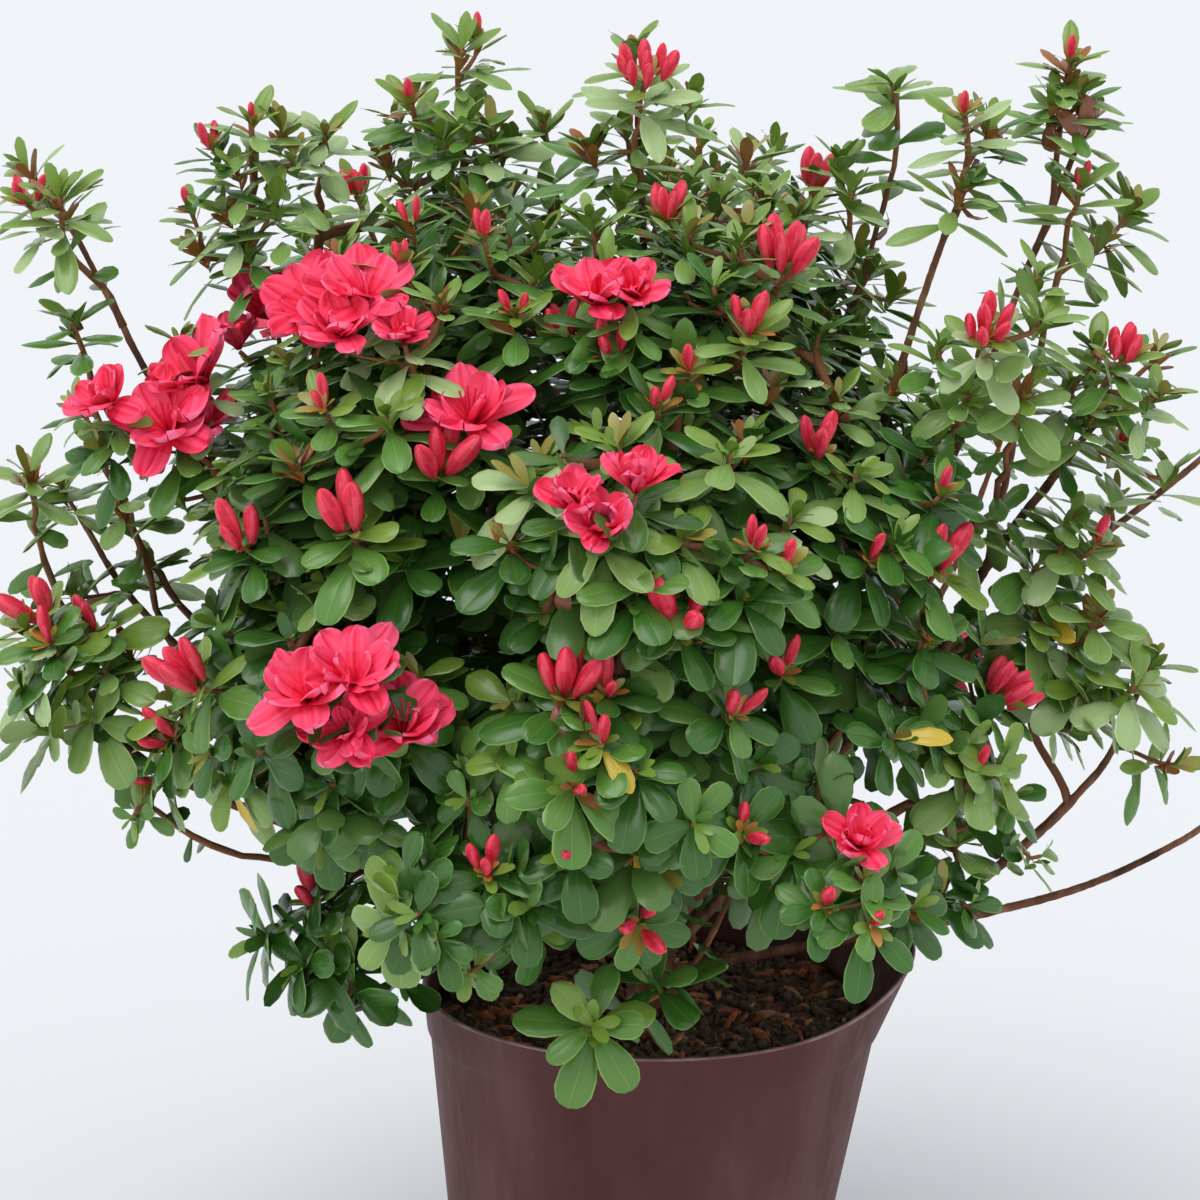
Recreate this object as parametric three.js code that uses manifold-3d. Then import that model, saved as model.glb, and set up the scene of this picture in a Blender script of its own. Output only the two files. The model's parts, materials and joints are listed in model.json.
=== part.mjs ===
// A small evergreen azalea in a round plastic nursery pot, in millimetres, +Z up.
// The origin is the centre of the pot's flat underside. -Y is the side that is seen from the front.
import * as THREE from "three";
import { mergeVertices } from "three/addons/utils/BufferGeometryUtils.js";
import Module from "manifold-3d";

const wasm = await Module();
wasm.setup();

// Pot
const POT_HEIGHT = 163;
const POT_BASE_RADIUS = 67;
const POT_WALL_TOP_RADIUS = 90.6;
const RIM_BAND_HEIGHT = 18;
const RIM_BAND_STEP = 1.1;
const POT_WALL = 2.4;
const POT_FLOOR = 3;
const POT_FOOT_CHAMFER = 2;
const POT_SEGMENTS = 36;
// The soft wall leans a little to the right, and the rim is pulled up and out on that side.
const POT_LEAN = 9.6;
const EAR_LIFT = 14;
const EAR_PUSH = 11;
const EAR_START = POT_HEIGHT - RIM_BAND_HEIGHT;
const EAR_SHARPNESS = 14;

// Compost
const SOIL_TOP = 147;
const SOIL_WAVE = 1.6;
const SOIL_SEGMENTS = 24;
const SOIL_RINGS = 4;

// Stem and boughs
const STEM_TOP = 192;
const STEM_DEPTH = 9;
const STEM_FOOT_RADIUS = 14;
const STEM_TOP_RADIUS = 8.5;
const STEM_LEAN = [-3, 2];
const STEM_SIDES = 12;
const BOUGH_SIDES = 6;
const BOUGH_STEPS = 6;
const BOUGH_FOOT_RADIUS = 2.7;
const BOUGH_TIP_RADIUS = 1.3;
const FORK_SHARE = 0.9;
// How far a bough leans outwards where it enters its leafy tip, for a rise of 1
const TIP_LEAN = 0.45;

// Crown: the leafy dome is half an ellipsoid above its middle and a shallower one below
const DOME = { x: -19, y: 6, z: 302, wide: 182, deep: 182, up: 198, down: 122 };
const SHELL_DEPTH = 44;
const LUMP = 0.13;
const LUMP_PITCHES = [2.1, 3.4, 4.8];
const GAP = 0.35;

// Each ring of masses: how many, how far from straight up, the first one's bearing from +X,
// the part of the circle it fills, and the half sizes round the dome and up and down it
const RINGS = [
  { name: "mass_top", count: 4, polar: 27, bearing: 35, sweep: 360, round: 60, along: 56 },
  { name: "mass_shoulder", count: 7, polar: 61, bearing: 24, sweep: 360, round: 60, along: 52 },
  { name: "mass_side", count: 7, polar: 97, bearing: 44, sweep: 318, round: 60, along: 46 },
];

// Low masses that hang round the pot's rim: middle, half width and half height
const SKIRTS = [
  { name: "mass_skirt_left", at: [-117, -34, 181], half: [36, 34] },
  { name: "mass_skirt_front_left", at: [-62, -134, 237], half: [41, 29] },
  { name: "mass_skirt_front", at: [-15, -123, 185], half: [27, 22] },
  { name: "mass_skirt_front_right", at: [60, -128, 236], half: [44, 29] },
  { name: "mass_skirt_right", at: [116, -66, 218], half: [31, 29] },
  { name: "mass_skirt_back", at: [12, 140, 204], half: [48, 34] },
];

// Outlying shoots: middle of the leafy tip, its half width and half height. Where one has a bough of
// its own, it says the height at which the bough leaves the stem, or the earlier shoot's bough that
// it forks from and how far along that is, the slope in degrees at which it sets off, and its lean
// at the tip where that isn't the usual one.
const SHOOTS = [
  { name: "tip_far_left", at: [-211, 6, 458], half: [29, 38], from: 182, slope: 34 },
  { name: "tip_left", at: [-144, 14, 475], half: [30, 37] },
  { name: "tip_left_tall", at: [-66, 22, 492], half: [28, 45] },
  { name: "tip_left_shoulder", at: [-180, -34, 396], half: [34, 36] },
  { name: "tip_middle", at: [1, -14, 515], half: [33, 21], from: 188, slope: 86 },
  { name: "tip_right_tall", at: [100, 26, 484], half: [26, 41] },
  { name: "tip_right", at: [170, 22, 488], half: [32, 44], from: 182, slope: 44 },
  { name: "tip_right_bare", at: [126, -24, 488], half: [27, 23], fork: "tip_right", part: 0.3, slope: 80 },
  { name: "tip_right_inner", at: [130, -62, 428], half: [29, 27] },
  { name: "tip_right_middle", at: [170, -22, 332], half: [29, 36] },
  { name: "tip_far_right", at: [242, -6, 394], half: [31, 34], from: 174, slope: 52, lean: 1.1 },
  { name: "tip_right_low", at: [182, -34, 410], half: [34, 28], fork: "tip_far_right", part: 0.5, slope: 72 },
  { name: "tip_right_trailing", at: [252, 18, 252], half: [33, 30], from: 165, slope: 10 },
  { name: "tip_right_side", at: [196, -24, 284], half: [33, 28], fork: "tip_right_trailing", part: 0.4, slope: 40 },
  { name: "tip_left_side", at: [-216, -24, 292], half: [33, 30], from: 166, slope: 36 },
  { name: "tip_left_upper", at: [-216, 24, 345], half: [27, 37], fork: "tip_left_side", part: 0.45, slope: 50 },
  { name: "tip_back_left", at: [-116, 176, 420], half: [35, 40], from: 174, slope: 44 },
  { name: "tip_back", at: [36, 196, 450], half: [35, 38], from: 180, slope: 52 },
  { name: "tip_back_right", at: [156, 150, 344], half: [37, 35], from: 166, slope: 26 },
];

const MATERIALS = {
  plastic: new THREE.MeshStandardMaterial({ color: "#5d3c41", roughness: 0.45, metalness: 0 }),
  compost: new THREE.MeshStandardMaterial({ color: "#2c211c", roughness: 0.95, metalness: 0 }),
  bark: new THREE.MeshStandardMaterial({ color: "#5f3d2f", roughness: 0.8, metalness: 0 }),
  foliage: new THREE.MeshStandardMaterial({ color: "#34622f", roughness: 0.5, metalness: 0 }),
};

const plant = new THREE.Group();
const radians = THREE.MathUtils.degToRad;

// A repeatable stream of numbers between 0 and 1
function randomStream(seed) {
  let state = seed;
  return () => {
    state = (state * 1664525 + 1013904223) % 4294967296;
    return state / 4294967296;
  };
}

// Joins a geometry's corners, so that only positions are left and the surface is closed
function welded(geometry) {
  geometry.deleteAttribute("normal");
  geometry.deleteAttribute("uv");
  return mergeVertices(geometry, 1e-4);
}

function toSolid(geometry) {
  const closed = welded(geometry);
  return new wasm.Manifold(new wasm.Mesh({
    numProp: 3,
    vertProperties: new Float32Array(closed.attributes.position.array),
    triVerts: new Uint32Array(closed.index.array),
  }));
}

function toGeometry(solid) {
  const mesh = solid.getMesh();
  const geometry = new THREE.BufferGeometry();
  geometry.setAttribute("position", new THREE.BufferAttribute(mesh.vertProperties, 3));
  geometry.setIndex(new THREE.BufferAttribute(mesh.triVerts, 1));
  return geometry;
}

function addPart(name, geometry, material) {
  geometry.computeVertexNormals();
  const mesh = new THREE.Mesh(geometry, material);
  mesh.name = name;
  plant.add(mesh);
}

function moveVertices(geometry, move) {
  const positions = geometry.attributes.position;
  const point = new THREE.Vector3();
  for (let i = 0; i < positions.count; i += 1) {
    point.fromBufferAttribute(positions, i);
    move(point);
    positions.setXYZ(i, point.x, point.y, point.z);
  }
  return geometry;
}

// A lathe profile of [radius, height] pairs turned round +Z
function turned(profile, segments) {
  const points = profile.map(([radius, height]) => new THREE.Vector2(radius, height));
  return new THREE.LatheGeometry(points, segments).rotateX(Math.PI / 2);
}

function leanWithPot(point) {
  point.x += (POT_LEAN * point.z) / POT_HEIGHT;
}

// The soft rim's one raised ear, on the +X side
function pullEar(point) {
  const bearing = Math.atan2(point.y, point.x);
  const rise = THREE.MathUtils.clamp((point.z - EAR_START) / (POT_HEIGHT - EAR_START), 0, 1);
  const ear = rise * ((1 + Math.cos(bearing)) / 2) ** EAR_SHARPNESS;
  point.x += Math.cos(bearing) * ear * EAR_PUSH;
  point.y += Math.sin(bearing) * ear * EAR_PUSH;
  point.z += ear * EAR_LIFT;
}

function outerRadius(height) {
  return THREE.MathUtils.lerp(POT_BASE_RADIUS, POT_WALL_TOP_RADIUS, height / POT_HEIGHT);
}

function makePot() {
  const bandFoot = EAR_START;
  const bandTopRadius = outerRadius(POT_HEIGHT) + RIM_BAND_STEP;
  const profile = [
    [0, 0],
    [POT_BASE_RADIUS - POT_FOOT_CHAMFER, 0],
    [outerRadius(POT_FOOT_CHAMFER), POT_FOOT_CHAMFER],
    [outerRadius(bandFoot * 0.5), bandFoot * 0.5],
    [outerRadius(bandFoot), bandFoot],
    [outerRadius(bandFoot) + RIM_BAND_STEP, bandFoot + RIM_BAND_STEP * 0.5],
    [bandTopRadius, POT_HEIGHT - 1],
    [bandTopRadius - 1, POT_HEIGHT],
    [bandTopRadius - POT_WALL, POT_HEIGHT - 0.6],
    [outerRadius(bandFoot) - POT_WALL, bandFoot],
    [outerRadius(bandFoot * 0.5) - POT_WALL, bandFoot * 0.5],
    [outerRadius(POT_FLOOR) - POT_WALL, POT_FLOOR],
    [0, POT_FLOOR],
  ];
  const wall = moveVertices(welded(turned(profile, POT_SEGMENTS)), pullEar);
  addPart("pot", moveVertices(wall, leanWithPot), MATERIALS.plastic);
}

// The compost fills the pot to a slightly uneven top, and is cut out round the foot of the stem
function makeCompost(stemCutter) {
  const clear = POT_WALL + GAP * 3;
  const foot = POT_FLOOR + GAP;
  const profile = [[0, foot], [outerRadius(foot) - clear, foot], [outerRadius(SOIL_TOP) - clear, SOIL_TOP]];
  for (let ring = SOIL_RINGS - 1; ring >= 0; ring -= 1) {
    profile.push([((outerRadius(SOIL_TOP) - clear) * ring) / SOIL_RINGS, SOIL_TOP]);
  }
  const heap = moveVertices(welded(turned(profile, SOIL_SEGMENTS)), (point) => {
    if (point.z > SOIL_TOP - 1) {
      point.z += SOIL_WAVE * (Math.sin(point.x * 0.06 + 1) + Math.cos(point.y * 0.075 + point.x * 0.03));
    }
    leanWithPot(point);
  });
  addPart("compost", toGeometry(toSolid(heap).subtract(stemCutter)), MATERIALS.compost);
}

function stemAxis(height) {
  const part = (height - SOIL_TOP) / (STEM_TOP - SOIL_TOP);
  const foot = (POT_LEAN * SOIL_TOP) / POT_HEIGHT;
  return new THREE.Vector3(foot + STEM_LEAN[0] * part, STEM_LEAN[1] * part, height);
}

// The short stem inside the crown, fluted where the boughs leave it
function stemGeometry(extra) {
  const low = SOIL_TOP - STEM_DEPTH - extra;
  const high = STEM_TOP + extra;
  const profile = [[0, low]];
  for (const part of [0, 0.2, 0.5, 0.85, 0.97]) {
    const swell = STEM_FOOT_RADIUS + (STEM_TOP_RADIUS - STEM_FOOT_RADIUS) * Math.sqrt(part);
    profile.push([swell + extra, THREE.MathUtils.lerp(low, high, part)]);
  }
  profile.push([STEM_TOP_RADIUS * 0.5, high], [0, high]);
  return moveVertices(welded(turned(profile, STEM_SIDES)), (point) => {
    const axis = stemAxis(point.z);
    point.x += axis.x;
    point.y += axis.y;
  });
}

// A bough's centre line: it sets off at its own slope and turns up into its leafy tip
function boughCurve(start, { at, half, slope, lean = TIP_LEAN }) {
  const end = new THREE.Vector3(...at);
  const reach = end.distanceTo(start);
  const bearing = Math.atan2(end.y - start.y, end.x - start.x);
  const flat = new THREE.Vector3(Math.cos(bearing), Math.sin(bearing), 0);
  const leaving = flat.clone().multiplyScalar(Math.cos(radians(slope)));
  leaving.z = Math.sin(radians(slope));
  const rising = flat.clone().multiplyScalar(lean).add(new THREE.Vector3(0, 0, 1)).normalize();
  return new THREE.CubicBezierCurve3(
    start,
    start.clone().addScaledVector(leaving, reach * 0.42),
    end.clone().addScaledVector(rising, -Math.min(reach * 0.3, half[1] * 2.4)),
    end);
}

function limbRadius(footRadius, part) {
  return THREE.MathUtils.lerp(footRadius, BOUGH_TIP_RADIUS, part ** 0.8);
}

// A closed cylinder bent along the curve and drawn in towards its tip
function taperedLimb(curve, footRadius, extra) {
  const straight = new THREE.CylinderGeometry(1, 1, 1, BOUGH_SIDES, BOUGH_STEPS).rotateX(Math.PI / 2);
  const frames = curve.computeFrenetFrames(BOUGH_STEPS, false);
  return moveVertices(welded(straight), (point) => {
    const part = THREE.MathUtils.clamp(point.z + 0.5, 0, 1);
    const step = Math.round(part * BOUGH_STEPS);
    const radius = limbRadius(footRadius, part) + extra;
    const { x, y } = point;
    point.copy(curve.getPointAt(part));
    point.addScaledVector(frames.normals[step], x * radius);
    point.addScaledVector(frames.binormals[step], y * radius);
  });
}

// The three directions of a mass: round the dome, up and down it, and outwards
function massAxes(outward) {
  const across = new THREE.Vector3(-outward.y, outward.x, 0);
  if (across.length() < 1e-3) across.set(1, 0, 0);
  across.normalize();
  return [across, new THREE.Vector3().crossVectors(outward, across).normalize(), outward.clone().normalize()];
}

// One closed uneven lump with its own waves, seeded by its number
function lumpGeometry(mass, extra = 0) {
  const random = randomStream(mass.seed * 7919 + 17);
  const waves = LUMP_PITCHES.map((pitch) => ({
    along: new THREE.Vector3(random() - 0.5, random() - 0.5, random() - 0.5).setLength(pitch),
    phase: random() * Math.PI * 2,
    height: (LUMP / 2) * (0.7 + random() * 0.6) * (3 / (1 + pitch)),
  }));
  return moveVertices(welded(new THREE.IcosahedronGeometry(1, mass.detail)), (point) => {
    const swell = waves.reduce(
      (sum, wave) => sum + wave.height * Math.sin(point.dot(wave.along) + wave.phase), 1);
    const scaled = mass.axes.reduce(
      (sum, axis, i) => sum.addScaledVector(axis, point.getComponent(i) * (mass.half[i] * swell + extra)),
      new THREE.Vector3());
    point.copy(mass.centre).add(scaled);
  });
}

// Every mass of the dome, ring by ring, then the skirts and the tips
function layOutMasses() {
  const random = randomStream(2024);
  const masses = [];
  const wobble = (size) => (random() - 0.5) * 2 * size;
  for (const ring of RINGS) {
    for (let i = 0; i < ring.count; i += 1) {
      const bearing = radians(ring.bearing + (ring.sweep * i) / ring.count + wobble(5));
      const polar = radians(ring.polar + wobble(6));
      const outward = new THREE.Vector3(
        Math.cos(bearing) * Math.sin(polar), Math.sin(bearing) * Math.sin(polar), Math.cos(polar));
      const radii = new THREE.Vector3(DOME.wide, DOME.deep, outward.z > 0 ? DOME.up : DOME.down);
      const reach = 1 / outward.clone().divide(radii).length() - SHELL_DEPTH + wobble(7);
      masses.push({
        name: `${ring.name}_${i + 1}`,
        centre: new THREE.Vector3(DOME.x, DOME.y, DOME.z).addScaledVector(outward, reach),
        axes: massAxes(outward),
        half: [ring.round + wobble(5), ring.along + wobble(4), SHELL_DEPTH + wobble(4)],
        detail: 2,
        seed: masses.length + 1,
      });
    }
  }
  for (const tip of [...SKIRTS, ...SHOOTS]) {
    masses.push({
      name: tip.name,
      centre: new THREE.Vector3(...tip.at),
      axes: massAxes(new THREE.Vector3(tip.at[0] - DOME.x, tip.at[1] - DOME.y, 0)),
      half: [tip.half[0], tip.half[1], tip.half[0]],
      detail: 1,
      seed: masses.length + 1,
    });
  }
  return masses;
}

// How far a mass reaches from its middle along a direction
function support(mass, direction) {
  const sum = mass.axes.reduce((total, axis, i) => total + (direction.dot(axis) / mass.half[i]) ** 2, 0);
  return (1 + LUMP) / Math.sqrt(sum);
}

// A big block whose one face lies across the line at the given point, facing back along it
function halfSpace(point, direction) {
  const size = 400;
  const block = new THREE.BoxGeometry(size, size, size).translate(0, 0, size / 2);
  block.applyQuaternion(new THREE.Quaternion().setFromUnitVectors(new THREE.Vector3(0, 0, 1), direction));
  return toSolid(block.translate(point.x, point.y, point.z));
}

// Where two masses would run into each other, each stops at a plane between them
function partMasses(masses) {
  for (const mass of masses) {
    for (const other of masses) {
      if (other === mass) continue;
      const direction = other.centre.clone().sub(mass.centre);
      const apart = direction.length();
      direction.normalize();
      const mine = support(mass, direction);
      const theirs = support(other, direction);
      if (apart > mine + theirs) continue;
      const share = (apart * mine) / (mine + theirs) - GAP / 2;
      const face = mass.centre.clone().addScaledVector(direction, share);
      mass.solid = mass.solid.subtract(halfSpace(face, direction));
    }
  }
}

function makeCrown(stemCutter) {
  const masses = layOutMasses();
  for (const mass of masses) mass.solid = toSolid(lumpGeometry(mass));
  partMasses(masses);
  const boughs = new Map();
  for (const shoot of SHOOTS.filter((tip) => "slope" in tip)) {
    const { from, fork, part } = shoot;
    const parent = boughs.get(fork);
    const footRadius = parent ? limbRadius(parent.footRadius, part) * FORK_SHARE : BOUGH_FOOT_RADIUS;
    const curve = boughCurve(parent ? parent.curve.getPointAt(part) : stemAxis(from), shoot);
    const target = masses.find((mass) => mass.name === shoot.name);
    const limb = toSolid(taperedLimb(curve, footRadius, 0));
    const channel = toSolid(taperedLimb(curve, footRadius, GAP));
    boughs.set(shoot.name, { curve, footRadius, channel });
    const open = limb.subtract(parent ? parent.channel : stemCutter);
    const bough = open.subtract(toSolid(lumpGeometry(target, GAP)));
    for (const mass of masses) {
      if (mass !== target) mass.solid = mass.solid.subtract(channel);
    }
    addPart(shoot.name.replace("tip", "bough"), toGeometry(bough), MATERIALS.bark);
  }
  for (const mass of masses) addPart(mass.name, toGeometry(mass.solid), MATERIALS.foliage);
}

const stemCutter = toSolid(stemGeometry(GAP));
makePot();
makeCompost(stemCutter);
addPart("stem", stemGeometry(0), MATERIALS.bark);
makeCrown(stemCutter);

export default plant;
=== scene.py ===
"""A small flowering azalea in a round nursery pot. Lengths are in metres, in the part's own frame."""

import json
import math

import bpy
import numpy as np
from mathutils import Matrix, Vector
from mathutils.bvhtree import BVHTree

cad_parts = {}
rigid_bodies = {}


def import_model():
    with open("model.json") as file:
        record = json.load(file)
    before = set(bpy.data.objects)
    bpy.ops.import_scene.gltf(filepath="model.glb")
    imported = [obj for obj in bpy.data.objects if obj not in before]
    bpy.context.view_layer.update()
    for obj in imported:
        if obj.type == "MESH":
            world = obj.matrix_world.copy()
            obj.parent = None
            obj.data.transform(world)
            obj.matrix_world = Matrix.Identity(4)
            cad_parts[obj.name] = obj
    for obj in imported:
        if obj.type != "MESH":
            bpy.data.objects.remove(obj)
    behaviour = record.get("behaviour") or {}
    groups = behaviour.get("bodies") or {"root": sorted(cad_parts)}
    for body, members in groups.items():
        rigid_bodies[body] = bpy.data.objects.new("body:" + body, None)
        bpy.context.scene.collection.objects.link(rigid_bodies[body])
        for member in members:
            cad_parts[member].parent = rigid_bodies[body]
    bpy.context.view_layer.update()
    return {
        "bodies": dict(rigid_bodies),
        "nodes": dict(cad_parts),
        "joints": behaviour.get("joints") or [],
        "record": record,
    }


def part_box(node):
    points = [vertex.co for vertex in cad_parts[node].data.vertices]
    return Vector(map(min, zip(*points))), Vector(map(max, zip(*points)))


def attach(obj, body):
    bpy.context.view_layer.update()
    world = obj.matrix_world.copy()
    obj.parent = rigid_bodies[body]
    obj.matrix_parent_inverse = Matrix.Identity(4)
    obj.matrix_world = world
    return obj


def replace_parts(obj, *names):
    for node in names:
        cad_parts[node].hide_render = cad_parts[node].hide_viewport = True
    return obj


SEED = 41
UP = np.array((0.0, 0.0, 1.0))
FULL_TURN = 2 * math.pi
START_ANGLES = (0, 6.28)
GOLDEN_ANGLE = math.radians(137.5)
# The least values that lengths and areas are divided by, and from where a way counts as along +X
TINY = 1e-9
TINY_LENGTH = 1e-6
TINY_AREA = 1e-12
ALONG_X = 0.8

# Camera, at the photo's viewing angle, its tilt from the ellipse of the pot's rim
PHOTO_SIDE = 1200
CAMERA_PLACE = np.array((-0.0122, -1.28, 0.60))
CAMERA_PITCH = 12.5
CAMERA_CLIPS = (0.05, 200)
FOCAL_PIXELS = 3400
SENSOR_WIDTH = 36
# How far off a mass is looked for beside a line of sight that meets none
SIGHT_DISTANCES = np.linspace(1.05, 1.60, 56)

# Stage
FLOOR_SIZE = 120
FLOOR_DROP = 0.0002
SKY_COLOUR = (0.93, 0.965, 1.0, 1.0)
SKY_STRENGTH = 0.92
SUN_COLOUR = (1.0, 0.99, 0.97)
SUN_ENERGY = 1.2
SUN_SPREAD = math.radians(42)
SUN_WAY = (-0.28, -0.38, 1.0)

# Materials: between which values of the noise the tones and the roughness change
TONE_RANGE = (0.34, 0.66)
ROUGHNESS_RANGE = (0.3, 0.7)
NOISE_DETAIL = 6
EVEN = (1, 1, 1)

# Pot
POT_HEIGHT = 0.163
POT_BASE_RADIUS = 0.067
POT_TOP_RADIUS = 0.0906
POT_WALL = 0.0022
POT_FLOOR = 0.004
POT_LEAN = 0.0096
POT_SEGMENTS = 144
RIM_BAND_FOOT = 0.145
RIM_BAND_STEP = 0.0011
EAR_LIFT = 0.014
EAR_PUSH = 0.011
EAR_SHARPNESS = 14
AXIS_GAP = 0.0004
# Its foot as (inset, height), the step under its rim band as (share of the step, height over the
# band's foot), and its lip as (offset, height over the top)
FOOT_RING = ((0.006, 0.0006), (0.004, 0.0), (0.001, 0.0))
FOOT_CURVE = 0.0012
BAND_STEPS = ((0.0, -0.0005), (0.35, -0.0001), (0.85, 0.0003))
LIP_STEPS = ((0.0003, -0.0008), (-0.0001, -0.0001), (-0.0009, 0.0), (-POT_WALL, -0.0006))
# Heights of the points on its plain wall, on the band and down the inside
WALL_HEIGHTS = np.linspace(POT_FLOOR, RIM_BAND_FOOT - 0.0012, 26)
BAND_HEIGHTS = np.linspace(RIM_BAND_FOOT + 0.0009, POT_HEIGHT - 0.0016, 10)
INNER_BAND_HEIGHTS = np.linspace(POT_HEIGHT - 0.003, 0.147, 7)
INNER_WALL_HEIGHTS = (0.143, 0.07, POT_FLOOR)
# How many rows over the lip are painted pale, a painted highlight on the pot's edge
LIP_HIGHLIGHT_ROWS = 2
WALL_TONES = ("#4c2929", "#542e2e", "#593333", "#654343")
# The lip's pale tones are a painted highlight along the pot's edge
LIP_HIGHLIGHT_TONES = ("#6d4a48", "#8a6a67", "#a68a86")

# Compost
SOIL_TOP = 0.149
SOIL_RADIUS = 0.0855
SOIL_SEGMENTS = 120
SOIL_RINGS = 44
SOIL_FIRST_RING = 0.004
SOIL_NOISE = 0.0006
# Inset and drop of the skirt that closes its edge
SOIL_SKIRT = (0.005, 0.012)
SOIL_MARGIN = 0.004
SWELL_HEIGHT = 0.0014
SWELL_WAVES = (62, 71, 30)
RIPPLE_HEIGHT = 0.0009
RIPPLE_WAVES = (190, 140)
# Crumbs, then chips: how many, their lengths, how thin they are both ways, their rows of points,
# and which of the colours below they take
FRAGMENTS = (
    (3200, (0.0014, 0.0042), ((0.4, 1.0), (0.4, 1.0)), 3, (0, 0, 0, 4)),
    (500, (0.005, 0.016), ((0.2, 0.42), (0.07, 0.18)), 4, (1, 2, 3, 4)),
)
# How far a fragment is drawn in at its ends, how uneven and how bent it is, and how far it sticks out
FRAGMENT_ENDS = (0.25, 0.7)
FRAGMENT_UNEVENNESS = (0.75, 1.2)
FRAGMENT_BEND = 0.8
FRAGMENT_BEND_NOISE = 0.6
FRAGMENT_TILT = 0.25
FRAGMENT_LIFTS = (0.1, 0.7)
SOIL_COLOURS = {
    "peat": ("#54463c", "#665446", "#7a6957"),
    "chip_brown": ("#5c3828", "#7d4f3a", "#976650"),
    "chip_red": ("#8a4a30", "#b06642", "#c47f5c"),
    "chip_tan": ("#9a6848", "#bf8860", "#d2a680"),
    "chip_groove_shade": ("#40302a", "#5a463b", "#705a4c"),
}

# Crown
CROWN_MIDDLE = np.array((-0.019, 0.006, 0.302))
CROWN_FOOT = np.array((0.008, 0.0, 0.165))
LOWEST_TIP = 0.152
OUTER_SPACING = 0.0225
TIP_DEPTH = 0.008
TIP_THINNING = 0.5
INNER_LAYERS = ((0.0215, 0.025), (0.026, 0.044), (0.036, 0.066))
FEATURE_SPACING = 0.0115
SEEN_FROM = 0.06
STEM_SINK = 0.035
TRIES_PER_PLACE = 9
FAR_OFF = 9.0
LEAST_FACING = -0.25
# Where on the way out of a mass another one covers it
COVER_START = 0.0012
COVER_REACH = 0.03
# How a tip's direction is made up: out of the crown, out of its mass, up, and by chance. The lift
# grows over a range of how steeply the tip lies above the crown's middle.
OUTWARD_SHARE = 0.5
NORMAL_SHARE = 0.3
LIFTS = (0.45, 1.1)
LIFT_FROM = -0.1
LIFT_RANGE = 0.6
AXIS_NOISE = 0.15
LONG_SHOOT_LIFT = 0.5
# Sizes of tips
SIZE_SPREAD = (0.86, 1.14)
LARGE_SIZE = 1.18
LARGE_SLENDER = 0.2
SMALL_SIZE = 0.62
# Blossom that the photo doesn't show: which share of the tips carries open flowers, and up to which
# share they carry buds, with the flowers' number, widths and flare and the buds' number
FLOWER_SHARE = 0.06
BUD_SHARE = 0.34
FLOWER_COUNTS = (1, 4)
FLOWER_WIDTHS = (0.033, 0.040)
FLOWER_FLARES = (1.0, 1.4)
BUD_COUNTS = (1, 6)
# Where the photo shows the crown closed, as an ellipse in pixels, and how near to a tip that the
# photo shows others may grow outside it
DENSE_PLACES = (((592, 550), (385, 385)),)
TIP_REACH = 34
# Where it shows the compost and the rim between the leaves, as ellipses in pixels
CLEARINGS = (
    ((775, 980), (130, 80)), ((485, 995), (62, 52)), ((390, 1035), (40, 50)), ((700, 1075), (210, 60)),
)
# Low tips over the back of the rim, which close the crown against the pot
BACK_TIPS = ((0.006, 0.108, 0.174), (0.036, 0.108, 0.172), (0.062, 0.104, 0.172), (0.086, 0.094, 0.176))
# Where one sees through between the stems, as ellipses in pixels
GAPS = (((855, 768), (42, 34)), ((1045, 432), (66, 24)), ((965, 468), (28, 22)), ((1115, 440), (32, 26)))
# Where it shows bare stems and hollows among the leaves, and the share of the other shoots left out
SPARSE_PLACES = (
    ((1000, 530), (100, 125)), ((545, 632), (62, 46)), ((835, 720), (70, 55)), ((190, 590), (60, 60)),
    ((320, 985), (95, 70)), ((690, 870), (110, 62)),
)
SPARSE_SHARE = 0.66
# The inner part of the crown that dark leaves fill, as half lengths round its middle
CORE_HALF = (0.135, 0.075, 0.115)
CORE_SPACING = 0.027
CORE_TRIES = 2400
# How near in the photo a long shoot has to come to a bough to grow from it and to buds to carry them,
# in pixels, and down to where shoots at the back show over the crown
BOUGH_REACH = 17
LONG_BUD_REACH = 30
SKYLINE = 290

# Stem and boughs
STEM_TOP_SHIFT = (-0.003, 0.002)
STEM_FOOT_RADIUS = 0.0130
STEM_TAPER = 0.0052
STEM_RINGS = 14
STEM_SIDES = 18
BOUGH_FOOT_RADIUS = 0.0026
BOUGH_TIP_RADIUS = 0.0011
BOUGH_TAPER = 0.8
BOUGH_STEP = 0.004
BOUGH_SIDES = 11
# The least step between two rings of points on a bough's solid
RING_GAP = 0.010
# How much thicker a bough is over its first points, where it leaves the wood
COLLAR = np.linspace(1.5, 1.05, 4)
BARK_STEP = 0.0025
BARK_RELIEF = 0.11
BARK_RIDGES = 3
BARK_TWIST = 5
RIDGE_SHARE = 0.5
KNOB_SHARE = 0.5
BARK_TONES = ("#4a3024", "#684332", "#80553e", "#9b765b")
# How wide a rod still is where its ends are drawn in
ROD_END = 0.02

# Twigs
LONG_SHOOT_RADII = (0.0016, 0.0011)
LONG_SHOOT_NOISE = 0.0006
TWIG_RADIUS = 0.0009
TWIG_THICKENING = 0.3
TWIG_MOST = 0.0023
TWIG_STEP = 0.006
TWIG_SIDES = 6
TWIG_KNOTS = (0.88, 1.16)
YOUNG_WOOD = 0.045
# A twig comes from wood that lies towards the crown's foot and behind the shoot. Turning aside and
# being very short cost extra length, and twigs fork from the first part of another only.
CROWN_AIM = 0.6
SHOOT_AIM = 0.4
TURN_COST = 0.9
SHORT_TWIG = 0.014
SHORT_COST = 0.03
FORKING_PART = 0.75
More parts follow.
